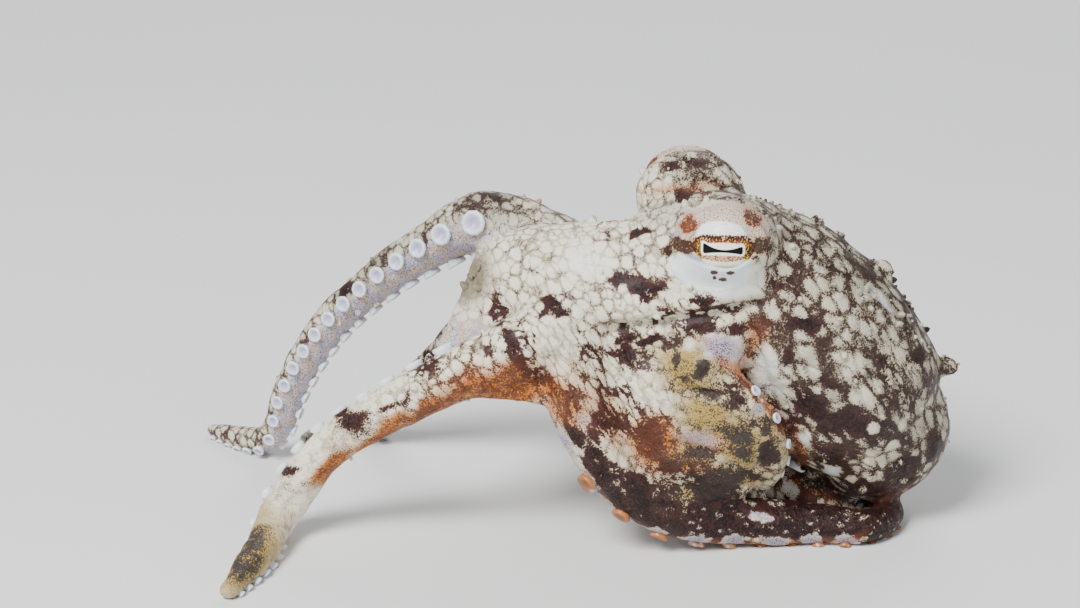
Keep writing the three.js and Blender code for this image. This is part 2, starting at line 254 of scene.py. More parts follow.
def ellipsoid(centre, half, lean=0.0, rings=24, sides=32):
    """Points at colatitude p and longitude q, scaled by the half sizes and leant about Y."""
    p = np.linspace(0, math.pi, rings)[:, None]
    q = around(sides)[None, :]
    ball = [np.sin(p) * np.cos(q), np.sin(p) * np.sin(q), np.cos(p) * np.ones_like(q)]
    x, y, z = (np.stack(ball, -1).reshape(-1, 3) * half).T
    c, s = math.cos(lean), math.sin(lean)
    return np.stack([c * x + s * z, y, c * z - s * x], 1) + centre, grid_faces(rings, sides)


def turned(base, axis, a, b, outline, wide, tall, sides):
    """Outlines turned round axes. At angle q a point is the base, plus the axis times its height,
    plus cos q a + sin q b times its radius. The outline's rows are radii and heights, as shares
    of the width and the height of each."""
    angle = around(sides)[None, None, :, None]
    ring = np.cos(angle) * a[:, None, None] + np.sin(angle) * b[:, None, None]
    rise = axis[:, None, None] * (tall[:, None] * outline[:, 1])[:, :, None, None]
    points = base[:, None, None] + rise + ring * (wide[:, None] * outline[:, 0])[:, :, None, None]
    starts = np.arange(len(base))[:, None, None] * len(outline) * sides
    faces = grid_faces(len(outline), sides)[None] + starts
    return points.reshape(-1, 3), faces.reshape(-1, 4)


def web_sheet(web, thickness, along=28, across=24):
    """A closed sheet between two arms. Its middle surface joins their curves by straight lines,
    lifted by the bulge times sin(pi v), and it is moved half the thickness to either side. The
    first and the last row are pinched shut."""
    first, second = (np.array(ARMS[name]["rows"], float) for name in web["arms"])
    lift = unit(web["outward"]) * web["bulge"]

    def surface(u, v):
        far = 1 - web["notch"] * 4 * v * (1 - v)
        shares = [WEB_START + (limit - WEB_START) * u * far for limit in web["reach"]]
        a, b = spline(first, shares[0])[..., :3], spline(second, shares[1])[..., :3]
        return a + (b - a) * v[..., None] + lift * np.sin(math.pi * v)[..., None]

    v = np.concatenate([[0], np.linspace(0, 1, across), [1]])
    u = np.linspace(0, 1, along)
    there_and_back = np.concatenate([u, u[::-1]])
    side = np.concatenate([np.ones(along), -np.ones(along)])
    uu, vv = np.meshgrid(there_and_back, v)
    step = 1e-2
    u0, v0 = np.minimum(uu, 1 - step), np.minimum(vv, 1 - step)
    corner = surface(u0, v0)
    normal = unit(np.cross(surface(u0 + step, v0) - corner, surface(u0, v0 + step) - corner))
    open_rows = np.ones(len(v))
    open_rows[[0, -1]] = 0
    depth = thickness / 2 * side[None, :, None] * open_rows[:, None, None]
    points = surface(uu, vv) + normal * depth
    return points.reshape(-1, 3), grid_faces(len(v), 2 * along)


def joined(shapes):
    """Several (points, faces) as one."""
    starts = np.cumsum([0] + [len(points) for points, _ in shapes[:-1]])
    points = np.concatenate([points for points, _ in shapes])
    return points, np.concatenate([faces + start for (_, faces), start in zip(shapes, starts)])


LATTICE = 32
LATTICE_START = 1000.0


def lattice_noise(points, size, seed):
    """Smooth noise from -1 to 1: random values on a cubic lattice, blended by smoothstep."""
    table = np.random.default_rng(seed).uniform(-1, 1, (LATTICE, LATTICE, LATTICE))
    scaled = points / size + LATTICE_START
    cell = np.floor(scaled).astype(int)
    w = scaled - cell
    w = w * w * (3 - 2 * w)
    total = np.zeros(len(points))
    for corner in range(8):
        offset = np.array([corner & 1, corner >> 1 & 1, corner >> 2 & 1])
        weight = np.prod(np.where(offset, w, 1 - w), axis=1)
        total += weight * table[tuple(((cell + offset) % LATTICE).T)]
    return total


# --- Meshes and objects ---

def added(name, data):
    """A new object in the scene."""
    new = bpy.data.objects.new(name, data)
    bpy.context.scene.collection.objects.link(new)
    return new


def new_piece(name, points, faces, material, slot, attributes):
    """A smooth mesh object from points in millimetres, riding on the part's one body."""
    mesh = bpy.data.meshes.new(name)
    mesh.vertices.add(len(points))
    mesh.vertices.foreach_set("co", ((points + SHIFT) * MM).astype(np.float32).ravel())
    mesh.loops.add(faces.size)
    mesh.loops.foreach_set("vertex_index", faces.astype(np.int32).ravel())
    mesh.polygons.add(len(faces))
    starts = np.arange(0, faces.size, faces.shape[1], dtype=np.int32)
    mesh.polygons.foreach_set("loop_start", starts)
    mesh.polygons.foreach_set("use_smooth", np.ones(len(faces), bool))
    mesh.update(calc_edges=True)
    mesh.validate()
    for key, values in attributes.items():
        kind, field = ("FLOAT_VECTOR", "vector") if values.ndim == 2 else ("FLOAT", "value")
        layer = mesh.attributes.new(key, kind, "POINT")
        layer.data.foreach_set(field, values.astype(np.float32).ravel())
    mesh.materials.append(material)
    piece = added(name, mesh)
    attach(piece, "root")
    return piece


def remeshed(points, faces, voxel):
    """One closed skin round overlapping shapes, by a voxel remesh, as points and quads."""
    mesh = bpy.data.meshes.new("rough")
    mesh.from_pydata(points.tolist(), [], faces.tolist())
    rough = added("rough", mesh)
    remesh = rough.modifiers.new("remesh", "REMESH")
    remesh.mode = "VOXEL"
    remesh.voxel_size = voxel
    graph = bpy.context.evaluated_depsgraph_get()
    skin = bpy.data.meshes.new_from_object(rough.evaluated_get(graph))
    found = np.zeros(len(skin.vertices) * 3, np.float32)
    skin.vertices.foreach_get("co", found)
    corners = np.zeros(len(skin.loops), np.int32)
    skin.loops.foreach_get("vertex_index", corners)
    bpy.data.objects.remove(rough)
    bpy.data.meshes.remove(mesh)
    bpy.data.meshes.remove(skin)
    return found.reshape(-1, 3).astype(float), corners.reshape(-1, 4)


def smoothed(points, faces, passes, weight):
    """Moves each point towards the mean of its neighbours, by its weight, passes times over."""
    a, b = faces.ravel(), np.roll(faces, -1, axis=1).ravel()
    ends, others = np.concatenate([a, b]), np.concatenate([b, a])
    degree = np.bincount(ends, minlength=len(points))[:, None]
    for _ in range(passes):
        total = np.stack([np.bincount(ends, points[others, k], len(points)) for k in range(3)], 1)
        points = points + (total / degree - points) * weight[:, None]
    return points


def point_normals(points, faces):
    """The sum of the crossed diagonals of the quads round each point, over its length."""
    a, b, c, d = (points[faces[:, k]] for k in range(4))
    crossed = np.cross(c - a, d - b)
    total = [np.bincount(faces.ravel(), np.repeat(part, 4), len(points)) for part in crossed.T]
    return unit(np.stack(total, 1))


# --- Where a point of the skin lies: which arm, how far along it, and on which side ---

def nearest_on(points, rows, oral=(DOWN, DOWN), samples=90):
    """For each point, the share along a curve of its nearest sample, the clearance from the
    tube's surface, and how far it lies to the oral side, in radii."""
    t = np.linspace(0, 1, samples)
    curve = spline(rows, t)
    centres, radii = curve[:, :3], curve[:, 3]
    square = (points ** 2).sum(1)[:, None] + (centres ** 2).sum(1)[None] - 2 * points @ centres.T
    away = np.sqrt(np.maximum(square, 0)) - radii[None]
    best = away.argmin(1)
    _, down, _ = cross_axes(rows, oral, t)
    radial = (points - centres[best]) / radii[best, None]
    oral_share = (radial * down[best]).sum(1)
    return t[best], away[np.arange(len(points)), best], oral_share


def in_view(points):
    """Where each point stands in the camera's frame, in pixels: its place across and over the
    line of sight, times the focal length, over its depth."""
    from_camera = points - CAMERA_AT
    focal = PIXELS_PER_MM * CAMERA_DISTANCE
    depth = from_camera @ FORWARD
    return (VIEW_SIZE[0] / 2 + focal * from_camera[:, 0] / depth,
            VIEW_SIZE[1] / 2 - focal * (from_camera @ UPWARD) / depth)


def turned_to_camera(points, normals):
    """The cosine of the angle between each point's normal and the way to the camera."""
    return (normals * unit(CAMERA_AT - points)).sum(1)


MARK_CORE = 0.2
MARK_RIM = 1.5


def marked(px, py, marks):
    """The strongest of several soft oval marks at each place in the view. A mark is its centre,
    its half width and half height, its tilt in degrees, clockwise, and its strength, which falls
    from its core to its rim."""
    value = np.zeros(len(px))
    for x, y, wide, high, tilt, strength in marks:
        c, s = math.cos(math.radians(tilt)), math.sin(math.radians(tilt))
        along = ((px - x) * c + (py - y) * s) / wide
        across = ((py - y) * c - (px - x) * s) / high
        away = np.hypot(along, across)
        value = np.maximum(value, strength * (1 - smoothstep(MARK_CORE, MARK_RIM, away)))
    return value


# The markings of the near side, by mask: centre, half sizes, tilt and strength, in pixels of
# the camera's view and degrees.
MARKS = {
    "dark": [
        # head
        (660, 270, 12, 16, 0, 0.5), (640, 284, 20, 14, 30, 0.95), (668, 244, 8, 6, 0, 0.7),
        (555, 309, 14, 11, 20, 1), (619, 276, 16, 11, 30, 1), (640, 292, 9, 7, 60, 1),
        (653, 284, 15, 6, -15, 0.95), (642, 233, 15, 7, -20, 0.95), (706, 300, 22, 8, -3, 1),
        (682, 197, 11, 7, -30, 0.9), (675, 165, 17, 8, 12, 0.8), (698, 163, 12, 6, -10, 0.75),
        (741, 168, 7, 10, 30, 0.7), (541, 215, 6, 8, 0, 0.62), (539, 270, 6, 10, 0, 0.62),
        (550, 249, 6, 6, 0, 0.55), (605, 233, 6, 7, 0, 0.55), (640, 262, 5, 4, 0, 0.5),
        (668, 249, 5, 8, 0, 0.7), (680, 274, 8, 3, -10, 0.85), (586, 285, 5, 4, 0, 0.35),
        (664, 306, 14, 6, 0, 0.5), (752, 277, 9, 4, -40, 0.8), (774, 281, 14, 5, -10, 0.8),
        (788, 272, 8, 7, 40, 0.75), (768, 250, 4, 10, 0, 0.6), (755, 300, 22, 4, -8, 0.55),
        (795, 245, 10, 5, 40, 0.5), (632, 202, 9, 4, -10, 0.5),
        # line under the cheek
        (591, 352, 16, 9, 15, 0.9), (622, 338, 22, 6, -8, 0.85), (627, 353, 12, 14, 0, 1),
        (651, 345, 14, 8, -10, 1), (662, 322, 26, 7, -32, 0.9), (716, 313, 38, 6, -14, 0.9),
        (704, 330, 34, 10, -10, 0.9), (736, 326, 20, 9, -20, 0.7), (672, 347, 20, 11, -20, 0.65),
        (610, 366, 24, 13, 20, 0.65), (676, 385, 24, 10, 40, 0.5), (628, 357, 40, 17, 8, 0.8),
        # far arm
        (497, 197, 16, 7, 8, 0.8), (470, 203, 16, 6, -20, 0.6), (422, 243, 11, 10, 0, 1),
        (345, 290, 19, 8, -42, 1), (448, 219, 22, 6, -35, 0.55), (388, 262, 20, 7, -38, 0.5),
        (520, 207, 10, 6, 20, 0.55),
        # streaks that run down from the crown
        (494, 311, 9, 24, -5, 0.9), (509, 342, 10, 22, -18, 0.9), (488, 345, 12, 24, 0, 0.55),
        (522, 338, 5, 16, -8, 0.8), (535, 340, 4, 22, 0, 0.8), (584, 350, 25, 6, 65, 0.9),
        (522, 366, 26, 14, 40, 0.7), (548, 380, 42, 14, 42, 0.68), (578, 404, 54, 22, 42, 0.72),
        (619, 391, 11, 6, 25, 0.95), (610, 420, 40, 22, 48, 0.84), (642, 404, 40, 12, 48, 0.85),
        (602, 386, 16, 6, 58, 0.75), (573, 432, 27, 10, 67, 1), (596, 434, 12, 12, 30, 0.9),
        (630, 424, 28, 10, 50, 0.76), (646, 436, 32, 20, 45, 0.75), (592, 454, 18, 18, 60, 0.95),
        (585, 372, 10, 6, 40, 0.7),
        # near front arm
        (428, 352, 9, 3, -28, 1), (433, 366, 20, 14, -35, 0.62), (452, 380, 18, 9, -10, 0.5),
        (345, 408, 14, 6, -38, 1), (352, 420, 20, 12, -38, 0.86), (385, 410, 20, 6, -28, 0.75),
        (281, 464, 11, 7, -45, 1), (288, 470, 16, 6, -20, 0.75), (318, 432, 4, 5, 0, 0.5),
        (247, 519, 4, 6, 20, 0.6), (300, 485, 12, 5, -30, 0.5), (248, 552, 28, 46, 25, 0.66),
        (395, 402, 46, 8, -28, 0.55), (424, 366, 34, 16, -28, 0.66), (360, 424, 26, 12, -38, 0.6),
        # third arm
        (705, 368, 9, 8, 0, 1), (737, 401, 10, 10, 40, 1), (771, 455, 10, 15, 10, 1),
        (678, 361, 5, 12, -10, 0.8), (692, 376, 14, 4, 20, 0.7), (708, 390, 24, 4, 3, 0.75),
        (754, 424, 6, 7, 0, 0.7), (727, 383, 7, 8, 0, 0.7), (690, 372, 30, 20, 20, 0.5),
        (742, 440, 34, 28, 40, 0.7), (700, 452, 26, 12, 0, 0.75), (735, 474, 44, 13, 0, 0.75),
        (770, 430, 16, 26, -40, 0.65), (730, 400, 20, 16, 30, 0.8), (668, 462, 28, 14, 20, 0.75),
        (660, 420, 24, 14, 50, 0.6), (640, 490, 34, 18, 35, 0.95), (615, 472, 18, 14, 50, 0.9),
        (664, 500, 24, 14, 10, 1), (665, 525, 40, 14, 5, 0.95), (640, 515, 24, 14, 20, 0.95),
        # dark side arm
        (602, 474, 20, 26, -10, 1), (612, 500, 28, 16, 30, 1), (645, 500, 30, 19, 10, 1),
        (640, 476, 28, 9, 20, 0.85), (672, 486, 22, 10, 10, 0.8), (700, 510, 30, 12, 5, 0.8),
        (690, 525, 34, 9, 8, 0.85), (724, 504, 28, 13, 5, 1), (684, 496, 14, 10, 0, 0.6),
        (797, 503, 30, 15, 12, 1), (866, 520, 34, 10, 5, 0.9), (760, 500, 16, 14, 0, 0.75),
        (840, 498, 22, 5, 10, 0.85), (883, 508, 12, 14, 0, 0.95), (750, 525, 26, 7, 4, 0.8),
        (830, 520, 22, 9, 0, 0.9),
        # mantle
        (808, 328, 32, 13, 4, 1), (787, 358, 9, 9, 0, 0.9), (823, 347, 9, 7, 0, 0.65),
        (838, 328, 8, 6, 30, 0.8), (864, 367, 8, 6, 0, 0.75), (828, 380, 18, 7, 5, 0.95),
        (813, 403, 36, 17, 28, 0.95), (850, 424, 54, 21, 28, 0.95), (796, 424, 16, 16, 40, 0.7),
        (826, 455, 34, 18, 20, 0.9), (858, 486, 58, 14, -2, 0.8), (905, 470, 38, 18, -25, 0.92),
        (914, 361, 12, 14, -20, 0.9), (887, 360, 9, 9, 0, 0.8), (888, 377, 12, 8, 20, 0.75),
        (938, 447, 13, 24, 15, 0.92), (903, 400, 34, 30, 40, 0.62), (932, 385, 14, 34, -10, 0.65),
        (880, 430, 50, 20, 20, 0.85), (862, 300, 40, 14, 48, 0.42), (905, 340, 20, 26, -30, 0.5),
        (828, 428, 22, 14, 20, 0.95), (843, 275, 14, 4, 45, 0.4), (870, 320, 22, 4, 50, 0.4),
        (800, 262, 14, 4, 40, 0.45),
    ],
    "warm": [
        # orange-brown, finely dotted skin
        (500, 388, 60, 24, -4, 1), (440, 406, 48, 13, -26, 1), (382, 436, 42, 11, -32, 1),
        (330, 468, 28, 10, -42, 1), (556, 396, 50, 18, 38, 0.8), (655, 443, 34, 24, 35, 0.9),
        (600, 410, 60, 24, 45, 0.4), (677, 462, 34, 10, 10, 0.8), (683, 190, 34, 6, -3, 0.5),
        (752, 345, 10, 30, 24, 0.6), (758, 332, 12, 16, 20, 0.6), (717, 356, 22, 5, 37, 0.9),
        (750, 385, 26, 5, 45, 1), (780, 418, 24, 6, 51, 1), (797, 449, 6, 20, 0, 1),
        (801, 473, 5, 14, 0, 0.9), (815, 495, 36, 6, 12, 0.7), (890, 498, 34, 6, -14, 0.5),
        (705, 440, 30, 8, 10, 0.4), (604, 502, 6, 12, -25, 1), (638, 529, 9, 8, 20, 1),
        (674, 540, 9, 7, 0, 1), (715, 543, 10, 7, 0, 1), (755, 543, 10, 7, 0, 1),
        (794, 543, 9, 7, 0, 1), (829, 542, 9, 7, 0, 1), (858, 538, 8, 7, 0, 0.9),
    ],
    "olive": [
        # yellow-olive membrane and arm tip
        (690, 370, 40, 28, 15, 0.9), (705, 413, 34, 24, 10, 1), (740, 443, 36, 30, 40, 1),
        (770, 440, 22, 36, -20, 0.7), (690, 455, 34, 14, 5, 0.8), (735, 476, 40, 12, 0, 0.7),
        (245, 555, 38, 54, 25, 1), (262, 512, 18, 16, 30, 0.6), (690, 458, 14, 6, 10, 1),
        (745, 474, 20, 10, 0, 0.5), (640, 500, 60, 20, 10, 0.3), (700, 492, 40, 10, 8, 0.7),
    ],
    "pale": [
        # pale blue-white skin, with painted highlights on the mantle's ridge and on a pale patch
        # of the head
        (722, 284, 36, 12, 4, 0.9), (690, 268, 16, 8, 20, 0.6), (757, 272, 10, 8, -30, 0.4),
        (689, 346, 5, 5, 0, 0.8), (709, 353, 5, 5, 0, 0.8), (803, 437, 6, 5, 0, 1),
        (832, 470, 7, 5, 0, 1), (787, 489, 6, 6, 0, 1), (794, 493, 5, 6, 0, 1),
        # the thin streak at 882, 300 is a painted highlight on the mantle's ridge; the patch at
        # 585, 262 is pale skin with a painted highlight
        (768, 366, 11, 15, 10, 0.7), (585, 262, 24, 20, 20, 0.45), (882, 300, 3, 16, -35, 0.7),
        (775, 385, 14, 8, 40, 0.5),
    ],
    "violet": [
        # smooth grey-lilac skin of the funnel, and the dotted margin of the dark arm
        (722, 348, 21, 13, 20, 1), (562, 444, 8, 14, -15, 1), (590, 487, 7, 12, -20, 1),
        (620, 518, 14, 6, 35, 1), (655, 534, 12, 6, 10, 1), (694, 541, 14, 5, 0, 1),
        (735, 541, 12, 5, 0, 1), (775, 541, 14, 5, 0, 1), (812, 541, 12, 5, 0, 1),
        (846, 541, 12, 5, 0, 1), (700, 439, 20, 7, 10, 0.7), (759, 409, 6, 6, 0, 0.9),
        (762, 517, 16, 5, 10, 0.7), (583, 420, 10, 7, 30, 0.5),
    ],
    "streak": [
        # skin whose cells are drawn out down the web
        (588, 388, 90, 56, 42, 1), (528, 335, 34, 34, 60, 0.8), (895, 385, 34, 60, -25, 0.6),
        (660, 315, 60, 12, -25, 0.7),
    ],
    "dusk": [
        # greyer skin along the back and the far arm, and on the mantle's outer edge greyer skin
        # with painted shade where it turns from the light
        (500, 205, 50, 20, 10, 1), (400, 255, 90, 22, -38, 1), (860, 270, 70, 26, 45, 1),
        (930, 400, 36, 90, 0, 1), (770, 215, 40, 26, 30, 0.8), (665, 210, 30, 22, -30, 0.6),
        (690, 180, 30, 14, 0, 0.5), (850, 380, 70, 90, 0, 0.55), (895, 380, 40, 90, 0, 0.85),
        (700, 420, 60, 60, 0, 0.4),
    ],
    "inner": [
        # the brown inner face of the web in front of the crown, darkened further as painted shade
        # in its hollow
        (464, 282, 11, 30, 38, 1), (468, 278, 24, 30, 25, 1),
    ],
    "spared": [
        # places that stay free of dark skin
        (806, 452, 10, 12, 0, 0.7), (765, 500, 32, 10, 0, 0.45), (828, 284, 24, 12, 40, 0.7),
        (862, 315, 30, 22, 45, 0.55), (768, 334, 12, 16, 0, 0.6), (768, 362, 14, 24, 20, 0.6),
        (590, 402, 12, 10, 40, 0.6), (390, 394, 16, 9, -30, 0.8), (604, 504, 6, 10, -25, 0.9),
        (638, 530, 9, 6, 20, 0.9), (674, 541, 9, 6, 0, 0.9), (715, 544, 10, 6, 0, 0.9),
        (755, 544, 10, 6, 0, 0.9), (794, 544, 9, 6, 0, 0.9), (829, 543, 9, 6, 0, 0.9),
        (858, 539, 8, 6, 0, 0.8), (560, 350, 22, 34, -20, 1), (615, 373, 11, 15, -20, 0.9),
        (650, 393, 28, 14, 40, 1), (619, 447, 19, 14, 30, 1), (582, 419, 9, 7, 0, 0.8),
        (575, 250, 46, 28, 0, 0.5), (845, 365, 20, 12, 45, 0.85), (860, 392, 18, 9, 50, 0.85),
        (800, 351, 8, 7, 0, 1), (817, 368, 8, 7, 0, 1), (813, 345, 6, 8, 0, 0.9),
        (820, 388, 7, 6, 0, 1), (832, 407, 6, 6, 0, 1), (873, 428, 6, 6, 0, 1),
        (903, 427, 6, 6, 0, 1), (868, 456, 11, 9, 0, 0.95), (894, 444, 6, 5, 0, 1),
        (872, 479, 4, 3, 0, 1), (918, 430, 5, 8, 0, 0.8), (855, 509, 10, 3, 10, 0.5),
        (690, 498, 10, 7, 0, 0.6), (750, 487, 12, 7, 0, 0.6), (838, 336, 9, 8, 0, 0.6),
        (388, 388, 26, 13, -32, 1), (312, 440, 26, 13, -42, 1),
    ],
}


# How dark and how grey plain skin is on each arm in turn, the mantle and the head.
PLAIN_DARKNESS = np.array([0.32, 0.38, 0.4, 0.45, 0.45, 0.42, 0.42, 0.42, 0.52, 0.27])
PLAIN_DUSK = np.array([0.05, 0.35, 0.2, 0.4, 0.4, 0.4, 0.4, 0.5, 0.5, 0.04])
BELONGING = 1.6
SPARING = 0.45
RESTING_DARKNESS = 0.55
BLOTCH_DARKNESS = 0.58
# How much greyer the mantle is where it faces up: partly its own grey, partly painted shade.
BACK_GREY_AND_SHADE = 0.25
DUSK_STRENGTH = 0.75
WANDER = (6, 4)


def skin_masks(points, normals):
    """How dark, warm, olive, pale and oral each point is, and how strongly its cells show. A point
    belongs to each arm, the mantle and the head by e to the minus clearance, and takes its share
    of their plain darkness. Marks hold where the near side is seen, and noise elsewhere."""
    px, py = in_view(points)
    seen = smoothstep(-0.15, 0.2, turned_to_camera(points, normals))
    hidden = 1 - seen

    def noise(size, seed):
        return lattice_noise(points, size, seed)

    def mark(key, x=px, y=py):
        return marked(x, y, MARKS[key])

    arms = {name: nearest_on(points, np.array(arm["rows"], float), arm["oral"])
            for name, arm in ARMS.items()}
    trunk = [nearest_on(points, rows)[1] for rows in (MANTLE_ROWS, HEAD_ROWS)]
    clear = np.stack([arms[name][1] for name in ARMS] + trunk, 1)
    likely = np.exp(-BELONGING * (clear - clear.min(1, keepdims=True)))
    likely /= likely.sum(1, keepdims=True)
    on_mantle, on_head = likely[:, len(ARMS)], likely[:, len(ARMS) + 1]
    resting = likely[:, 1] * smoothstep(0.24, 0.4, arms["l2"][0])
    oral = sum(likely[:, k] * smoothstep(0.35, 0.8, arms[name][2])
               * smoothstep(0.12, 0.22, arms[name][0]) for k, name in enumerate(ARMS))

    shade = likely @ PLAIN_DARKNESS + RESTING_DARKNESS * resting
    blotches = noise(4.2, 11) + 0.5 * noise(2.0, 12)
    elsewhere = np.clip(shade + BLOTCH_DARKNESS * smoothstep(0.15, 0.6, blotches), 0, 1)
    x, y = (flat + WANDER[0] * noise(1.9, seed) + WANDER[1] * noise(0.9, seed + 20)
            for flat, seed in ((px, 13), (py, 14)))
    spared, pale, inner = mark("spared"), seen * mark("pale"), seen * mark("inner")
    here = np.maximum(shade * (1 - SPARING * spared), mark("dark", x, y) * (1 - spared))
    dark = seen * here + hidden * elsewhere
    warm = seen * mark("warm", x, y) + hidden * 0.5 * smoothstep(0.2, 0.8, noise(5.0, 15))
    # Greyness: plain for each piece, plus painted shade on the mantle's upward-facing back and,
    # through the dusk marks, on its outer edge.
    dusk = likely @ PLAIN_DUSK + BACK_GREY_AND_SHADE * on_mantle * smoothstep(0.1, 0.8, normals[:, 2])
    dusk += DUSK_STRENGTH * seen * mark("dusk")
    return {
        "streak": seen * mark("streak") + hidden * 0.4,
        "inner": inner,
        "dusk": np.clip(dusk * (1 - 0.5 * spared * seen), 0, 1),
        "dark": dark * (1 - 0.85 * pale) * (1 - 0.7 * oral) * (1 - inner),
        "warm": np.clip(warm, 0, 1),
        "olive": seen * mark("olive", x, y),
        "pale": pale,
        "violet": seen * mark("violet"),
        "spotted": resting,
        "calm": likely[:, 0] * smoothstep(0.28, 0.42, arms["l1"][0]),
        "amber": likely[:, 2] * oral,
        "oral": oral,
        "mantle": on_mantle,
        "head": on_head,
    }


# --- Skin ---

def rough_body(thickness):
    """Every flesh shape, overlapping its neighbours."""
    shapes = [sweep(MANTLE_ROWS, sides=56), sweep(HEAD_ROWS, sides=56, flatten=HEAD_DEPTH)]
    shapes += [ellipsoid(orbit["at"], ORBIT_HALF, rings=28, sides=40) for orbit in ORBITS.values()]
    shapes += [sweep(FUNNEL_ROWS, sides=24)]
    shapes += [ellipsoid(flap["at"], flap["half"], flap["lean"]) for flap in FLAPS]
    shapes += [sweep(arm["rows"], arm["oral"], 28, 0.5, ARM_FLATTENING) for arm in ARMS.values()]
    shapes += [web_sheet(web, thickness) for web in WEBS]
    return joined(shapes)


def eye_frame(eye):
    """The eyeball's centre, the way it faces, and the directions along and up its slit."""
    facing = unit(ORBITS[eye]["gaze"])
    along = unit(np.cross(facing, (0, 0, 1)))
    if along[0] < 0:
        along = -along
    up = np.cross(along, facing)
    return eyeball_centre(eye), facing, along, unit(up * np.sign(up[2]))


def eye_place(points, eye):
    """Places along the eye's slit, above it and ahead of the eyeball's centre."""
    centre, facing, along, up = eye_frame(eye)
    away = points - centre
    return np.stack([away @ along, away @ up, away @ facing], 1)


LID_WIDE = 2.6
LID_UPPER = 2.25
LID_LOWER = 1.5
LID_RIM = (1.13, 0.12)
LID_RIM_HEIGHT = 0.34
# Folds over the slit: height, distance in openings or in millimetres, and half width.
LID_FOLDS = [(-0.2, 1.4, 0.09), (0.12, 1.62, 0.12)]
BROW_FOLDS = [(-0.26, 4.0, 0.24), (0.14, 4.5, 0.26)]
BROW_WIDE = 1.15
LID_REACH = 7.5
LID_GAP = 0.14
SUNK = 0.45


def eye_opening(points, eye):
    """How far out of the lids' opening a point lies: 1 on their edge, less inside. The opening is
    half an ellipse over the slit and a flatter half under it. Also how far in front it lies, and
    its place along the slit and above it."""
    u, v, front = eye_place(points, eye).T
    high = np.where(v > 0, LID_UPPER, LID_LOWER)
    return np.hypot(u / LID_WIDE, v / high), front, u, v


def eyelids(points, normals):
    """Sinks the skin inside the opening behind the eyeball and raises soft ridges round it: each a
    bell curve of the distance out of the opening, and stronger above the slit than below it."""
    for eye in ORBITS:
        centre = eyeball_centre(eye)
        opening, front, u, v = eye_opening(points, eye)
        near = np.linalg.norm(points - centre, axis=1) < LID_REACH
        ahead = smoothstep(0.2, 1.4, front) * near
        inside = (1 - smoothstep(0.86, 1.0, opening)) * ahead
        upper = smoothstep(-0.9, 0.9, v)
        reach = np.hypot(u / BROW_WIDE, v)
        move = LID_RIM_HEIGHT * (0.5 + upper) * bell(opening, *LID_RIM)
        for distance, folds in ((opening, LID_FOLDS), (reach, BROW_FOLDS)):
            for height, place, wide in folds:
                move += height * upper * bell(distance, place, wide)
        target = centre + unit(points - centre) * (EYEBALL_RADIUS - SUNK)
        points = points + (target - points) * inside[:, None]
        points = points + normals * (move * ahead)[:, None]
        far = np.linalg.norm(points - centre, axis=1)
        least = EYEBALL_RADIUS + LID_GAP
        cover = (opening > 1) & (front > -1) & (far < least)
        points[cover] = centre + (points[cover] - centre) * (least / far[cover])[:, None]
    return points


LOBES = [
    # swellings and hollows of the skin: centre, half sizes, tilt and height in millimetres
    (708, 412, 30, 18, 10, 0.55), (700, 372, 26, 16, 20, 0.4), (735, 445, 22, 16, 60, 0.35),
    (690, 448, 26, 5, 12, -0.6), (705, 392, 34, 4, 8, -0.45), (668, 462, 24, 16, 20, 0.25),
    (618, 300, 30, 20, 0, 0.15), (850, 425, 60, 40, 25, 0.2), (770, 350, 8, 50, -20, 0.3),
    (757, 352, 5, 46, -18, -0.5), (560, 350, 8, 40, -15, 0.15), (722, 335, 18, 10, -10, 0.25),
]


FURROW_DEPTH = 0.8
FURROW_WIDTH = 5.5
FURROW_START = (590, 620)
FURROW_END = (755, 775)
RIDGE_HEIGHT = 0.3
RIDGE_WIDTH = 9.0
RIDGE_OVER = 15
PLEAT_HEIGHT = 0.1
PLEAT_WIDTH = 3.4


def body_relief(points, normals, masks):
    """Lumps from two sizes of noise, pleats as a sine across the streaks, the furrow that runs
    under the eye as a bell curve across a bent line, and the lobes."""
    px, py = in_view(points)
    lumps = 0.16 * lattice_noise(points, 2.6, 21) + 0.09 * lattice_noise(points, 1.1, 22)
    seen = smoothstep(0.0, 0.3, turned_to_camera(points, normals))
    furrow_y = 330 - 0.075 * (px - 600) - 0.00055 * (px - 600) ** 2
    along = smoothstep(*FURROW_START, px) * (1 - smoothstep(*FURROW_END, px))
    furrow = bell(py, furrow_y, FURROW_WIDTH) * along
    ridge = bell(py, furrow_y - RIDGE_OVER, RIDGE_WIDTH) * along
    shaped = sum(high * marked(px, py, [(*oval_lobe, 1)]) for *oval_lobe, high in LOBES)
    wave = (px * 0.78 - py * 0.62) / PLEAT_WIDTH + 2.2 * lattice_noise(points, 2.2, 23)
    pleats = PLEAT_HEIGHT * seen * (masks["streak"] * np.sin(wave))
    move = lumps + seen * (RIDGE_HEIGHT * ridge - FURROW_DEPTH * furrow + shaped) + pleats
    return points + normals * (move * (1 - 0.6 * masks["oral"]))[:, None]


SPIKE_SIDES = 6
SPIKE_RISE = np.linspace(-0.25, 1, 5)
SPIKE_OUTLINE = np.stack([np.sqrt(1 - np.clip(SPIKE_RISE, 0, 1) ** 1.6), SPIKE_RISE], 1)
SPIKE_LEAN = 0.35
SPIKE_CLEAR = 2.1
SPIKE_LOWEST = 4
BEHIND = 9.0


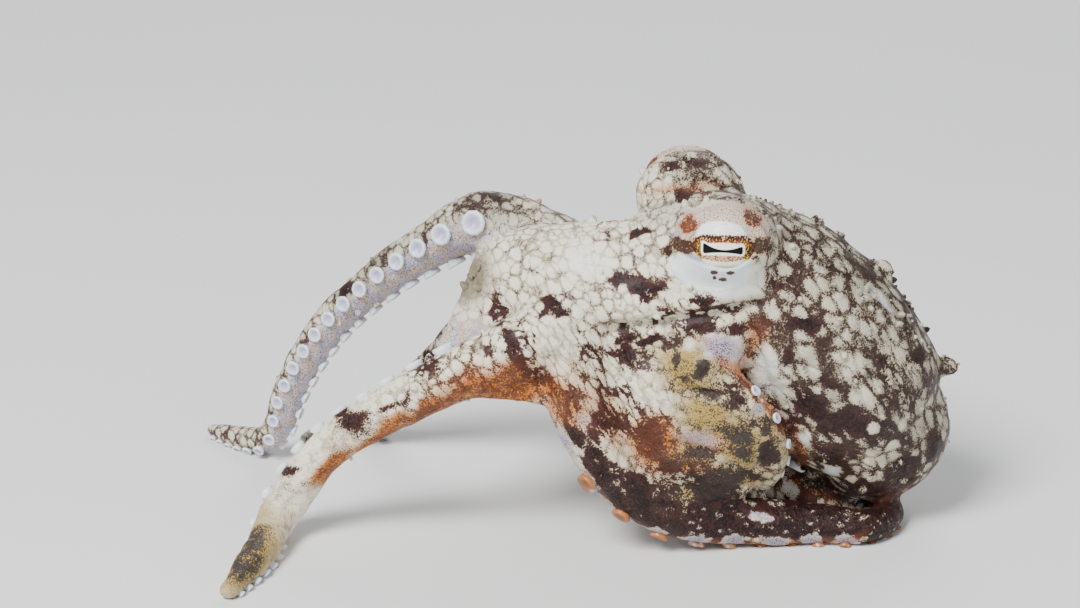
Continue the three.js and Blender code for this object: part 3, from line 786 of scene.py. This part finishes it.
def papillae(points, normals, masks, count, height, seed=5):
    """Small soft spikes that stand on the back, the head and the outer side of the arms, each
    leaning a little along a random direction. Their radius falls as sqrt(1 - h^1.6) over their
    height h, from a little under the skin. Also the point of the skin that each is rooted in."""
    rng = np.random.default_rng(seed)
    back = smoothstep(0.0, 0.6, normals[:, 2]) * (1 - masks["oral"])
    openings = [eye_opening(points, eye)[:2] for eye in ORBITS]
    opening = np.minimum(*(np.where(front > 0, out, BEHIND) for out, front in openings))
    weight = (0.25 + 0.75 * back) * (0.35 + masks["head"] + 0.7 * masks["mantle"])
    weight = weight * (opening > SPIKE_CLEAR)
    weight *= (points[:, 2] > SPIKE_LOWEST) * (1 - masks["pale"])
    weight *= 1 - np.clip(masks["violet"], 0, 1)
    picked = rng.choice(len(points), count, replace=False, p=weight / weight.sum())
    base, up = points[picked], normals[picked]
    lean = unit(up + SPIKE_LEAN * rng.normal(size=up.shape))
    side = unit(np.cross(lean, rng.normal(size=up.shape)))
    tall = height * (0.3 + 0.7 * rng.uniform(0, 1, count) ** 3)
    cones = turned(base, lean, side, np.cross(lean, side), SPIKE_OUTLINE, tall * 0.5 + 0.05, tall,
                   SPIKE_SIDES)
    return cones, np.repeat(picked, len(SPIKE_OUTLINE) * SPIKE_SIDES)


# How often each smoothing runs, and how far it goes each time.
FIRST_PASSES = (5, 0.5)
CROWN_PASSES = (22, 0.5)
LAST_PASSES = (1, 0.4)
CROWN_REACH = (0.5, 4.5)
CROWN_LOWEST = 8
CONE_DARKNESS = 0.8


def make_skin(sizes, colours):
    """The one skin of the head, mantle, funnel, arms and web. Its crown, where the arms meet the
    head, is smoothed most."""
    points, faces = remeshed(*rough_body(sizes.web_thickness / MM), sizes.voxel / MM)
    points = smoothed(points, faces, FIRST_PASSES[0], np.full(len(points), FIRST_PASSES[1]))
    from_head = nearest_on(points, HEAD_ROWS)[1]
    crown = (1 - smoothstep(*CROWN_REACH, from_head)) * (points[:, 2] > CROWN_LOWEST)
    points = smoothed(points, faces, CROWN_PASSES[0], CROWN_PASSES[1] * crown)
    normals = point_normals(points, faces)
    masks = skin_masks(points, normals)
    points = body_relief(points, normals, masks)
    points = smoothed(points, faces, LAST_PASSES[0], np.full(len(points), LAST_PASSES[1]))
    normals = point_normals(points, faces)
    points = eyelids(points, normals)
    points[:, 2] = np.maximum(points[:, 2], 0.0)
    cones, roots = papillae(points, normals, masks, sizes.papillae, sizes.papilla_height / MM)
    masks.pop("head")
    attributes = {key: np.concatenate([values, values[roots]]) for key, values in masks.items()}
    attributes["dark"][len(points):] *= CONE_DARKNESS
    left, right = (eye_place(points, eye) for eye in ORBITS)
    nearer = np.linalg.norm(left, axis=1) < np.linalg.norm(right, axis=1)
    socket = np.where(nearer[:, None], left, right)
    attributes["socket"] = np.concatenate([socket, np.full((len(roots), 3), BEHIND)])
    everything = joined([(points, faces), cones])
    skin = new_piece("skin", *everything, skin_material(colours), "skin", attributes)
    flesh = [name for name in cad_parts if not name.startswith("eye_")]
    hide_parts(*flesh)
    return skin


# --- Suckers ---

# Radius and height of a sucker's outline, from its foot round its rim to the middle of its cup.
CUP_OUTLINE = np.array([
    [0.0, -0.5], [0.72, -0.5], [0.78, 0.0], [1.0, 0.46],
    [0.9, 0.68], [0.7, 0.62], [0.36, 0.3], [0.0, 0.24],
])
CUP_SIDES = 10
SUCKER_SHARE = 0.4
SUCKER_SPLAY = 0.85
SUCKER_FOOT = 0.9
FIRST_SUCKER = {"l1": 0.25, "l2": 0.22, "l3": 0.2}
LAST_SUCKER = 0.985
SUCKER_SIZE = {"l3": 0.62, "l2": 0.82}


def sucker_places(name, spacing):
    """Shares along an arm at which suckers stand, closer together where the arm is thinner."""
    rows = np.array(ARMS[name]["rows"], float)
    t = np.linspace(FIRST_SUCKER.get(name, 0.16), LAST_SUCKER, 2 * CURVE_SAMPLES)
    curve = spline(rows, t)
    steps = np.linalg.norm(np.diff(curve[:, :3], axis=0), axis=1)
    passed = np.concatenate([[0], np.cumsum(steps / (spacing * curve[1:, 3]))])
    return np.interp(np.arange(0.5, passed[-1]), passed, t)


def sucker_rows(name, spacing):
    """Cups in two rows: the outline turned round each sucker's axis, which leans out from the
    oral side by the splay, left and right by turns. Also how near the rim each point lies."""
    arm = ARMS[name]
    rows = np.array(arm["rows"], float)
    t = sucker_places(name, spacing)
    curve = spline(rows, t)
    tangent, down, side = cross_axes(rows, arm["oral"], t)
    splay = np.where(np.arange(len(t)) % 2, SUCKER_SPLAY, -SUCKER_SPLAY)[:, None]
    axis = np.cos(splay) * down + np.sin(splay) * side
    radius = curve[:, 3] * SUCKER_SHARE * SUCKER_SIZE.get(name, 1.0)
    foot = curve[:, :3] + axis * curve[:, 3:4] * SUCKER_FOOT
    points, faces = turned(foot, axis, tangent, np.cross(tangent, axis), CUP_OUTLINE, radius,
                           radius, CUP_SIDES)
    return points, faces, np.tile(np.repeat(CUP_OUTLINE[:, 0], CUP_SIDES), len(t))


def make_suckers(sizes, colours):
    """All the suckers, as one piece."""
    cups = {name: sucker_rows(name, sizes.sucker_spacing) for name in ARMS}
    points, faces = joined([(points, faces) for points, faces, _ in cups.values()])
    points[:, 2] = np.maximum(points[:, 2], 0.0)
    warm = [np.full(len(rim), float(name == "l2")) for name, (_, _, rim) in cups.items()]
    attributes = {"warm": np.concatenate(warm),
                  "rim": np.concatenate([rim for _, _, rim in cups.values()])}
    return new_piece("suckers", points, faces, sucker_material(colours), "sucker", attributes)


# --- Eyes ---

def make_eye(eye, colours, rings=72, sides=96):
    """An eyeball whose poles lie along the way it faces: a point at colatitude p and longitude q
    is the radius times cos p ahead and sin p aside. The attribute holds its place along the slit,
    above it and ahead, in millimetres."""
    centre, facing, along, up = eye_frame(eye)
    p = np.linspace(0, math.pi, rings)[:, None, None]
    q = around(sides)[None, :, None]
    ball = np.cos(p) * facing + np.sin(p) * (np.cos(q) * along + np.sin(q) * up)
    points = (centre + EYEBALL_RADIUS * ball).reshape(-1, 3)
    faces = grid_faces(rings, sides)
    if np.cross(along, up) @ facing <= 0:
        faces = faces[:, ::-1]
    slit = {"slit": eye_place(points, eye)}
    name = eye.replace("eye", "eyeball")
    piece = new_piece(name, points, faces, eye_material(colours), "eye", slit)
    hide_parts(eye)
    return piece


# --- Materials: a socket with arithmetic, and one method for every other node ---

def maths(operation, swapped=False, clamp=False):
    """A method that puts a value and others through one Math node, or the others first."""
    def method(self, *others):
        values = (*others, self) if swapped else (self, *others)
        settings = {"operation": operation, "use_clamp": clamp}
        return Value(self.tree, self.tree.node("ShaderNodeMath", settings, *values).outputs[0])
    return method


class Value:
    """A number that varies over a surface, from a node's output socket."""

    def __init__(self, tree, socket):
        self.tree, self.socket = tree, socket

    __add__ = __radd__ = maths("ADD")
    __mul__ = __rmul__ = maths("MULTIPLY")
    __sub__, __rsub__ = maths("SUBTRACT"), maths("SUBTRACT", swapped=True)
    __truediv__, __rtruediv__ = maths("DIVIDE"), maths("DIVIDE", swapped=True)
    __pow__, __rpow__ = maths("POWER"), maths("POWER", swapped=True)
    minimum, maximum = maths("MINIMUM"), maths("MAXIMUM")
    absolute, sine = maths("ABSOLUTE"), maths("SINE")
    held = maths("ADD", clamp=True)

    def clamped(self):
        """This number held between 0 and 1."""
        return self.held(0.0)

    def toward(self, other, share):
        """This number where the share is 0 and the other where it is 1."""
        return self + (other - self) * share

    def step(self, low, high):
        """0 below low and 1 above high, either of which may vary."""
        settings = {"interpolation_type": "SMOOTHSTEP"}
        node = self.tree.node("ShaderNodeMapRange", settings, self, low, high, 0.0, 1.0)
        return Value(self.tree, node.outputs[0])


MIX_SHARE, MIX_UNDER, MIX_OVER, MIX_COLOUR = 0, 6, 7, 2


class Tree:
    """The node tree of one material, and the colours that it is painted with."""

    def __init__(self, name, colours):
        self.colours = colours
        self.material = bpy.data.materials.new(name)
        self.material.use_nodes = True
        self.nodes = self.material.node_tree.nodes
        self.links = self.material.node_tree.links
        self.place = self.node("ShaderNodeTexCoord", {}).outputs["Object"]

    def set(self, socket, value):
        """Links a value to a socket, or sets the socket's own number or colour."""
        value = value.socket if isinstance(value, Value) else value
        if isinstance(value, bpy.types.NodeSocket):
            self.links.new(value, socket)
        else:
            socket.default_value = value

    def node(self, kind, settings, *values, **named):
        """A node of a kind, with its settings, then its sockets in order, then those by name."""
        node = self.nodes.new(kind)
        for key, value in settings.items():
            setattr(node, key, value)
        for socket, value in zip(node.inputs, values):
            self.set(socket, value)
        for key, value in named.items():
            self.set(node.inputs[key.replace("_", " ")], value)
        return node

    def attribute(self, name):
        """A number that the mesh holds at each point."""
        node = self.node("ShaderNodeAttribute", {"attribute_name": name})
        return Value(self, node.outputs["Fac"])

    def places(self, name):
        """The three numbers of a vector attribute."""
        node = self.node("ShaderNodeAttribute", {"attribute_name": name})
        return self.axes(node.outputs["Vector"])

    def axes(self, vector):
        """The three numbers of a vector or a colour."""
        node = self.node("ShaderNodeSeparateXYZ", {}, vector)
        return [Value(self, node.outputs[k]) for k in range(3)]

    def noise(self, per_mm, detail=2.0, roughness=0.5, output="Fac"):
        """Soft noise on the object's own place."""
        node = self.node("ShaderNodeTexNoise", {}, Vector=self.place, Scale=per_mm * PER_MM,
                         Detail=detail, Roughness=roughness)
        return Value(self, node.outputs[output])

    def voronoi(self, vector, per_mm, feature="F1"):
        """The distance from the middles, or from the edges, of scattered cells, and the cells'
        random numbers."""
        node = self.node("ShaderNodeTexVoronoi", {"feature": feature}, Vector=vector,
                         Scale=per_mm * PER_MM)
        return Value(self, node.outputs["Distance"]), node.outputs.get("Color")

    def moved(self, vector, by, amount):
        """The vector moved by amount times another one."""
        scaled = self.node("ShaderNodeVectorMath", {"operation": "SCALE"}, by, Scale=amount)
        moved = self.node("ShaderNodeVectorMath", {"operation": "ADD"}, vector, scaled.outputs[0])
        return moved.outputs[0]

    def tint(self, colour):
        """The colour that a name in the settings, or a name and its gain, stands for. A socket or
        plain numbers stay as they are."""
        if isinstance(colour, str):
            colour = (colour, 1.0)
        if isinstance(colour, tuple) and isinstance(colour[0], str):
            name, gain = colour
            colour = (*(part * gain for part in getattr(self.colours, name)), 1.0)
        return colour

    def layered(self, colour, *layers):
        """A colour with others laid over it in turn, each by its share."""
        for over, share in layers:
            node = self.node("ShaderNodeMix", {"data_type": "RGBA"})
            for place, value in ((MIX_SHARE, share), (MIX_UNDER, colour), (MIX_OVER, over)):
                self.set(node.inputs[place], self.tint(value))
            colour = node.outputs[MIX_COLOUR]
        return colour

    def finish(self, colour, roughness, height=None, depth=0.0, **plain):
        """The material, with its colour, roughness, bump and plain numbers set on its shader."""
        shader = self.nodes["Principled BSDF"]
        self.set(shader.inputs["Base Color"], colour)
        self.set(shader.inputs["Roughness"], roughness)
        if height is not None:
            bump = self.node("ShaderNodeBump", {}, Strength=1.0, Distance=depth, Height=height)
            self.set(shader.inputs["Normal"], bump.outputs[0])
        for key, value in plain.items():
            shader.inputs[key.replace("_", " ")].default_value = value
        return self.material


def ovals(u, v, *rows):
    """The strongest of several ovals, each 1 inside an ellipse and 0 outside it, over a soft edge.
    A row is the middle, the half sizes and the softness."""
    found = []
    for x, y, wide, high, soft in rows:
        across, over = (u - x) / wide, (v - y) / high
        found.append(1 - (across * across + over * over).step(1 - soft, 1 + soft))
    return functools.reduce(Value.maximum, found)


# Patches of skin round the eye, in millimetres along its slit and above it.
EYE_PATCHES = {
    "lid": [(-0.2, 1.2, 3.6, 2.4, 0.2)],
    "below": [(-0.9, -1.9, 3.2, 1.6, 0.3)],
    "salmon": [(-2.95, 1.55, 1.0, 0.65, 0.5), (2.3, 2.45, 0.85, 0.95, 0.5)],
    "corner": [(-3.15, -0.15, 1.2, 0.6, 0.5), (2.75, 0.1, 0.8, 0.7, 0.6)],
    "flecks": [(-0.65, -2.0, 0.3, 0.22, 0.8), (0.6, -2.0, 0.32, 0.2, 0.8),
               (0.0, -2.68, 0.34, 0.2, 0.8), (-0.62, -2.5, 0.16, 0.2, 0.8)],
    "arc": [(-0.65, 1.6, 3.9, 2.95, 0.12)],
    "under_arc": [(-0.1, 1.2, 3.55, 2.35, 0.12)],
}
# Cells of each kind of skin: their turn, how they are drawn out, how many to a millimetre, and
# whether their edges show.
CELLS = {
    "plain": (0.87, (1.3, 1.0, 0.9), 1.12, True),
    "mantle": (0.95, (1.45, 1.0, 0.9), 0.82, True),
    "streak": (0.95, (2.8, 1.0, 0.9), 1.75, True),
    "spotted": (0.3, (1.2, 1.0, 0.95), 1.5, False),
}
SACS_PER_MM = 7.2
SKIN_BUMP = 0.22 * MM


def skin_material(colours):
    """Pale cells in a dark net. The net widens with the darkness, until only small pale spots are
    left. All its ink lies in fine dots, as pigment sacs do, so that its edges break up. It also
    holds painted shade: rings in the folds round each eye, part of the grey of the mantle's outer
    edge and back, and part of the brown of the web's inner face; and painted highlights on the
    mantle's ridge and the head."""
    tree = Tree("octopus_skin", colours)
    dark, warm, olive, pale, violet, oral, dusk, inner, amber, calm, mantle, streak, spotted = (
        tree.attribute(key) for key in (
            "dark", "warm", "olive", "pale", "violet", "oral", "dusk", "inner", "amber", "calm",
            "mantle", "streak", "spotted"))
    u, v, front = tree.places("socket")
    bent = tree.moved(tree.place, tree.noise(1.1, 1.0, output="Color"), 0.4 * MM)

    def cells(turn, scale, per_mm, edged):
        """0 in the net between the cells and 1 in their middles."""
        lie = tree.node("ShaderNodeMapping", {"vector_type": "TEXTURE"}, Vector=bent,
                        Rotation=(0, turn, 0), Scale=scale).outputs[0]
        middle = 1 - tree.voronoi(lie, per_mm)[0].step(0.15, 0.9)
        if not edged:
            return middle
        edge = tree.voronoi(lie, per_mm, "DISTANCE_TO_EDGE")[0]
        return middle * 0.5 + edge.step(0.0, 0.34) * 0.5

    cell = cells(*CELLS["plain"])
    for key, share in (("mantle", mantle), ("streak", streak), ("spotted", spotted)):
        cell = cell.toward(cells(*CELLS[key]), share)
    fine = tree.noise(5.0, roughness=0.6)
    soft = tree.noise(1.25, 3.0, 0.6)
    broad = tree.noise(0.34)
    fine_swing, soft_swing, broad_swing = fine - 0.5, soft - 0.5, broad - 0.5
    sac, sac_numbers = tree.voronoi(tree.place, SACS_PER_MM)
    kind_swing = tree.axes(sac_numbers)[0] - 0.5

    near_eye = front.step(-0.2, 0.9)
    lid, below, salmon, corner, flecks, arc, under_arc = (
        ovals(u, v, *rows) for rows in EYE_PATCHES.values())
    lid, salmon, corner, flecks = (patch * near_eye for patch in (lid, salmon, corner, flecks))
    below = below * near_eye * (1 - lid)
    arc = arc * (1 - under_arc) * near_eye
    reach = (u * u * 0.76 + v * v) ** 0.5
    # Dotted dark rings in the folds of the skin round the eye: painted shade.
    crease_shade = (reach * 8.5 + soft * 9.0).sine().step(0.35, 0.95) * reach.step(2.9, 3.6) * near_eye
    crease_shade = crease_shade * (1 - reach.step(5.0, 6.5)) * v.step(-2.6, 0.5)

    quiet = (lid.maximum(below) * 0.9 + pale * 0.45 + violet).clamped()
    darkness = (dark + soft_swing * 0.5 + broad_swing * 0.3).clamped() * (1 - quiet)
    cell = cell.toward(0.5 + soft_swing * 1.2, calm * 0.8) + fine_swing * 0.25
    cell = cell.toward(soft.step(0.35, 0.65) * 0.7 + 0.1, olive * 0.85).clamped()
    ink = darkness * 1.45 - cell * (0.74 + spotted * 0.1 + streak * 0.25) + fine_swing * 0.25
    ink = ink.clamped() * (1 - quiet * 0.8) * (1 - warm * 0.5)
    ink = ink + warm * (0.46 + soft_swing * 0.5) + flecks * 0.8
    for least in (corner * 0.66, salmon * 0.58, lid * 0.24, arc * 0.15, crease_shade * 0.42,
                  olive * soft.step(0.4, 0.75) * 0.35, violet * 0.33, oral * 0.25):
        ink = ink.maximum(least)
    dots = (ink.clamped() * 1.3 - sac).step(-0.18, 0.18)

    icy = tree.layered("ice", ("cream", soft.step(0.45, 0.65) * 0.5))
    under = tree.layered("blush", ("lilac", soft.step(0.4, 0.6)),
                         ("peach", amber.step(0.1, 0.6) * 0.85))
    ground = tree.layered(
        "stone",
        ("cream", (cell + soft_swing * 0.9 + pale * 0.3).step(0.05, 0.6)),
        # dusk: greyer skin, and painted shade on the mantle's outer edge and upward-facing back
        ("dusk", (dusk * (0.8 + broad_swing * 1.6)).clamped() * 0.9),
        ("sand", (darkness * 0.5).clamped()),
        (("vein", 1.5), ink.step(0.0, 0.8) * (1 - warm) * 0.7),
        ("olive", (olive * (1.15 + soft_swing)).clamped()),
        ("peach", (warm * 1.3).clamped()),
        # pale skin, with painted highlights on the mantle's ridge and the head
        (icy, (pale * 0.85 + below * 0.9).clamped()),
        ("blush", (lid * 0.85).clamped()),
        (("lilac", 0.75), (arc * 0.95).maximum(violet * 0.85).clamped()),
        ("salmon", (salmon * 0.85).clamped()),
        ("amber", corner * 0.6),
        (under, oral * 0.8),
        # the web's inner face: brown, darkened further as painted shade in its hollow
        (("sand", 0.3), (inner * 1.2).clamped() * 0.9))
    dye = tree.layered(
        "vein",
        ("maroon", (darkness + kind_swing * 0.5).step(0.15, 0.5)),
        ("black_brown", (darkness + kind_swing * 0.45).step(0.72, 1.05)),
        ("rust", (warm.maximum(lid).maximum(salmon) * (1.15 - darkness)).clamped()),
        ("plum", violet.maximum(oral).maximum(flecks).clamped() * 0.9),
        (("dusk", 0.28), olive * (1.2 - darkness).clamped()),
        ("umber", corner),
        (("dusk", 0.16), (dusk * (1.1 - darkness)).clamped() * 0.8))
    height = cell * (1 - quiet) * 0.45 + fine * 0.3 + soft * 0.6 * (1 - quiet * 0.7)
    return tree.finish(
        tree.layered(ground, (dye, dots)), 0.5 + soft_swing * 0.3, height, SKIN_BUMP,
        Subsurface_Weight=0.06, Subsurface_Scale=0.6 * MM, Subsurface_Radius=(1.0, 0.55, 0.35),
        Specular_IOR_Level=0.22, Coat_Weight=0.06, Coat_Roughness=0.25)


SUCKER_BUMP = 0.06 * MM


def sucker_material(colours):
    """Milky rims with a bluish cast, or orange-brown on the dark arm."""
    tree = Tree("sucker_skin", colours)
    warm, rim = tree.attribute("warm"), tree.attribute("rim")
    soft = tree.noise(1.1)
    milky = tree.layered("lilac", ("ice", rim.step(0.3, 1.0)))
    brown = tree.layered("rust", ("orange", rim.step(0.0, 0.7)),
                         ("peach", rim.step(0.85, 1.0) * 0.5))
    base = tree.layered(milky, (brown, (warm * soft.step(0.2, 0.42)).clamped()))
    return tree.finish(base, 0.36 + soft * 0.12, soft, SUCKER_BUMP, Subsurface_Weight=0.2,
                       Subsurface_Scale=0.5 * MM, Coat_Weight=0.2, Coat_Roughness=0.15)


def rounded(a, b, radius):
    """How deep a point lies inside two edges, whose corner is rounded to a radius."""
    short_a, short_b = (radius - a).maximum(0.0), (radius - b).maximum(0.0)
    return radius - (short_a * short_a + short_b * short_b) ** 0.5


SLIT_DROP = 0.13
SLIT_HALF = 1.54
SLIT_CORNER = 0.22
PUPIL = (0.0005, 0.001, 0.002, 1.0)


def eye_material(colours):
    """A slit pupil that swells at both ends, in a cream rim. Gold with dark dots lies at its
    sides, a dotted brown band that bends down at its ends and a lilac crescent over it, and a
    tan crescent under it."""
    tree = Tree("eye", colours)
    u, v, _ = tree.places("slit")
    v = v + SLIT_DROP
    fine_swing = tree.noise(4.0, roughness=0.6) - 0.5
    sac, _ = tree.voronoi(tree.place, 7.0)
    aside = u.absolute()
    left, right = (0.15 - u).maximum(0.0), (u - 0.1).maximum(0.0)
    over = 0.1 + left * left * 0.17 + right * right * 0.13
    under = 0.14 + u * u * 0.1
    slit = rounded((over - v).minimum(v + under), SLIT_HALF - aside, SLIT_CORNER)
    rim = slit.step(-0.19, -0.11).maximum(ovals(u, v, (0.1, 0.3, 1.25, 0.34, 0.25)))
    end = (aside - 1.2).maximum(0.0)
    lifted = v + end * end * 0.5 + fine_swing * 0.3

    band = lifted.step(0.5, 0.62) * (1 - lifted.step(1.05, 1.3))
    crescent = ovals(u, v, (-0.2, 1.1, 1.85, 1.05, 0.15)) * lifted.step(1.05, 1.25)
    lid = lifted.step(1.05, 1.3) * (1 - crescent)
    beneath = 1 - v.step(-0.45, -0.25)
    flank = (aside + fine_swing * 0.35).step(1.5, 1.68)
    flank = flank * (1 - lifted.step(0.7, 1.1)) * v.step(-1.0, -0.7)
    outer = flank * (aside + fine_swing * 0.4).step(1.9, 2.4)
    tan = ovals(u, v, (0, -0.62, 1.9, 0.26, 0.5)) * beneath
    ink = band * 0.55 + crescent * 0.12 + lid * 0.26 + beneath * 0.12 + tan * 0.25
    ink = ink * (1 - flank) + flank * 0.5 + outer * 0.3
    dots = (ink.clamped() * 1.3 - sac).step(-0.1, 0.12)
    ground = tree.layered(
        "cream",
        ("amber", band.maximum(tan) * 0.7),
        (("dusk", 2.4), 1 - v.step(-1.45, -1.05)),
        ("gold", flank),
        (("umber", 1.6), outer * 0.6),
        ("blush", lid * 0.8),
        (("ice", 1.1), crescent * 0.6))
    dye = tree.layered(
        "umber",
        (("rust", 1.3), band.maximum(tan) * (1 - lifted.step(0.6, 1.0)) * 0.7),
        (("plum", 1.8), crescent.maximum(lid) * 0.8))
    pupil = slit.step(-0.02, 0.04)
    base = tree.layered(ground, (dye, dots), (("cream", 1.1), rim), (PUPIL, pupil))
    return tree.finish(base, 0.3, Specular_IOR_Level=0.1, Coat_Weight=0.1, Coat_Roughness=0.05)


def floor_material(colours):
    """A plain pale floor with a barely uneven sheen."""
    tree = Tree("pale_floor", colours)
    soft = tree.noise(0.04, 3.0)
    return tree.finish(tree.layered("floor", (("floor", 0.97), soft)), 0.75 + soft * 0.1)


# --- Stage ---

# Each light's name, place and width in metres, and its power.
LIGHTS = [
    ("key", (-0.2, -0.3, 0.4), 0.2, 5.0),
    ("fill", (0.42, -0.32, 0.2), 0.4, 0.7),
    ("back", (0.1, 0.45, 0.4), 0.35, 1.6),
]
LIT_PLACE = (0.0, 0.0, 0.012)
SURROUND = (0.9, 0.93, 1.0, 1.0)
SURROUND_STRENGTH = 0.33


def make_stage(sizes, colours):
    """The floor, three soft lights, an even surround and the camera."""
    half = sizes.floor / 2
    mesh = bpy.data.meshes.new("floor")
    corners = [(-half, -half, 0), (half, -half, 0), (half, half, 0), (-half, half, 0)]
    mesh.from_pydata(corners, [], [(0, 1, 2, 3)])
    mesh.materials.append(floor_material(colours))
    added("floor", mesh)
    for name, place, width, power in LIGHTS:
        light = bpy.data.lights.new(name, "AREA")
        light.size, light.energy = width, power
        lamp = added(name, light)
        lamp.location = place
        lamp.rotation_mode = "QUATERNION"
        aim = np.array(LIT_PLACE) - np.array(place)
        lamp.rotation_quaternion = Vector(aim).to_track_quat("-Z", "Y")
    world = bpy.data.worlds.new("surround")
    world.use_nodes = True
    sky = world.node_tree.nodes["Background"]
    sky.inputs["Color"].default_value = SURROUND
    sky.inputs["Strength"].default_value = SURROUND_STRENGTH
    bpy.context.scene.world = world
    make_camera()


def make_camera():
    """A level camera turned down by the elevation, whose lens gives the scale at the target."""
    data = bpy.data.cameras.new("camera")
    data.sensor_width = SENSOR_WIDTH
    data.lens = PIXELS_PER_MM * CAMERA_DISTANCE / VIEW_SIZE[0] * SENSOR_WIDTH
    data.clip_start, data.clip_end = 0.01, 10.0
    camera = added("camera", data)
    camera.location = (CAMERA_AT + SHIFT) * MM
    camera.rotation_euler = (math.pi / 2 - ELEVATION, 0, 0)
    bpy.context.scene.camera = camera


# --- Settings, operators and panel ---

def length(name, description, default):
    """A setting in metres."""
    return bpy.props.FloatProperty(
        name=name, description=description, default=default, unit="LENGTH", precision=5)


def colour(name, description, default):
    """A setting that is a colour."""
    return bpy.props.FloatVectorProperty(
        name=name, description=description, default=default, subtype="COLOR", size=3, min=0.0,
        max=1.0)


class OctopusSizes(bpy.types.PropertyGroup):
    """The octopus's sizes and counts"""

    voxel: length("Skin fineness", "Size of the squares that the skin is made of", 0.31 * MM)
    web_thickness: length("Web thickness", "Thickness of the web between the arms", 0.9 * MM)
    papilla_height: length("Papilla height", "Height of the tallest spikes of skin", 0.6 * MM)
    papillae: bpy.props.IntProperty(
        name="Papillae", description="Number of small spikes of skin", default=700)
    sucker_spacing: bpy.props.FloatProperty(
        name="Sucker spacing", default=0.62,
        description="Distance from one sucker to the next, in arm radii")
    floor: length("Floor", "Side of the square floor", 3.0)


class OctopusColours(bpy.types.PropertyGroup):
    """The octopus's colours"""

    cream: colour("Cream", "Palest cells of the skin", (0.90, 0.86, 0.69))
    stone: colour("Stone", "Greyer pale cells", (0.50, 0.45, 0.33))
    # Sand at a third of its strength paints the web's inner face, partly as painted shade.
    sand: colour("Sand", "Small spots left in dark skin", (0.58, 0.47, 0.29))
    # Dusk greys the back and the iris's lower edge; on the mantle's outer edge and back it also
    # paints shade.
    dusk: colour("Dusk", "Ground of the greyer skin of the back", (0.18, 0.19, 0.155))
    vein: colour("Vein", "Net between the pale cells", (0.13, 0.085, 0.05))
    maroon: colour("Maroon", "Dark net and blotches", (0.042, 0.011, 0.009))
    black_brown: colour("Black brown", "Darkest marks", (0.007, 0.0025, 0.0025))
    peach: colour("Peach", "Ground of the warm, dotted skin", (0.52, 0.175, 0.025))
    orange: colour("Orange", "Suckers of the dark arm", (0.30, 0.115, 0.032))
    rust: colour("Rust", "Dots of the warm skin", (0.18, 0.045, 0.013))
    olive: colour("Olive", "Membrane and arm tip", (0.40, 0.27, 0.075))
    # Ice also paints the highlights on the mantle's ridge and the head.
    ice: colour("Ice", "Blue-white skin under the eye and sucker rims", (0.76, 0.84, 0.88))
    lilac: colour("Lilac", "Bluish shade of suckers and funnel", (0.44, 0.42, 0.60))
    blush: colour("Blush", "Pink skin of the lids and the arms' undersides", (0.60, 0.46, 0.37))
    plum: colour("Plum", "Dots on the lilac skin", (0.085, 0.024, 0.042))
    salmon: colour("Salmon", "Two patches over the eye", (0.55, 0.16, 0.07))
    gold: colour("Gold", "Iris beside the slit", (0.66, 0.40, 0.03))
    amber: colour("Amber", "Iris over the slit", (0.50, 0.22, 0.07))
    umber: colour("Umber", "Dark dots of the iris and the web's inner face", (0.05, 0.02, 0.01))
    floor: colour("Floor", "Floor", (0.80, 0.80, 0.79))


class OCTOPUS_OT_skin(bpy.types.Operator):
    """Make the skin of the head, mantle, arms and web"""

    bl_idname = "octopus.skin"
    bl_label = "Skin"
    bl_options = {"REGISTER", "UNDO"}

    def execute(self, context):
        make_skin(context.scene.octopus_sizes, context.scene.octopus_colours)
        return {"FINISHED"}


class OCTOPUS_OT_suckers(bpy.types.Operator):
    """Make the two rows of suckers on each arm"""

    bl_idname = "octopus.suckers"
    bl_label = "Suckers"
    bl_options = {"REGISTER", "UNDO"}

    def execute(self, context):
        make_suckers(context.scene.octopus_sizes, context.scene.octopus_colours)
        return {"FINISHED"}


class OCTOPUS_OT_eyes(bpy.types.Operator):
    """Make both eyeballs"""

    bl_idname = "octopus.eyes"
    bl_label = "Eyes"
    bl_options = {"REGISTER", "UNDO"}

    def execute(self, context):
        for eye in ORBITS:
            make_eye(eye, context.scene.octopus_colours)
        return {"FINISHED"}


class OCTOPUS_OT_stage(bpy.types.Operator):
    """Make the floor, the lights and the camera"""

    bl_idname = "octopus.stage"
    bl_label = "Stage"
    bl_options = {"REGISTER", "UNDO"}

    def execute(self, context):
        make_stage(context.scene.octopus_sizes, context.scene.octopus_colours)
        return {"FINISHED"}


OPERATORS = (OCTOPUS_OT_skin, OCTOPUS_OT_suckers, OCTOPUS_OT_eyes, OCTOPUS_OT_stage)


class OCTOPUS_PT_panel(bpy.types.Panel):
    """Lists the octopus's settings and the operators that make it"""

    bl_label = "Octopus"
    bl_idname = "OCTOPUS_PT_panel"
    bl_space_type = "VIEW_3D"
    bl_region_type = "UI"
    bl_category = "Octopus"

    def draw(self, context):
        for group in (context.scene.octopus_sizes, context.scene.octopus_colours):
            for key in group.bl_rna.properties.keys():
                if key not in ("rna_type", "name"):
                    self.layout.prop(group, key)
        for operator in OPERATORS:
            self.layout.operator(operator.bl_idname)


CLASSES = (OctopusSizes, OctopusColours, *OPERATORS, OCTOPUS_PT_panel)


def register():
    """Adds the classes, and the settings to the scene."""
    for one in CLASSES:
        bpy.utils.register_class(one)
    bpy.types.Scene.octopus_sizes = bpy.props.PointerProperty(type=OctopusSizes)
    bpy.types.Scene.octopus_colours = bpy.props.PointerProperty(type=OctopusColours)


def unregister():
    """Takes the settings and the classes away again."""
    del bpy.types.Scene.octopus_colours
    del bpy.types.Scene.octopus_sizes
    for one in reversed(CLASSES):
        bpy.utils.unregister_class(one)


def main():
    """Makes every piece in order."""
    register()
    bpy.ops.octopus.skin()
    bpy.ops.octopus.suckers()
    bpy.ops.octopus.eyes()
    bpy.ops.octopus.stage()


if __name__ == "__main__":
    main()
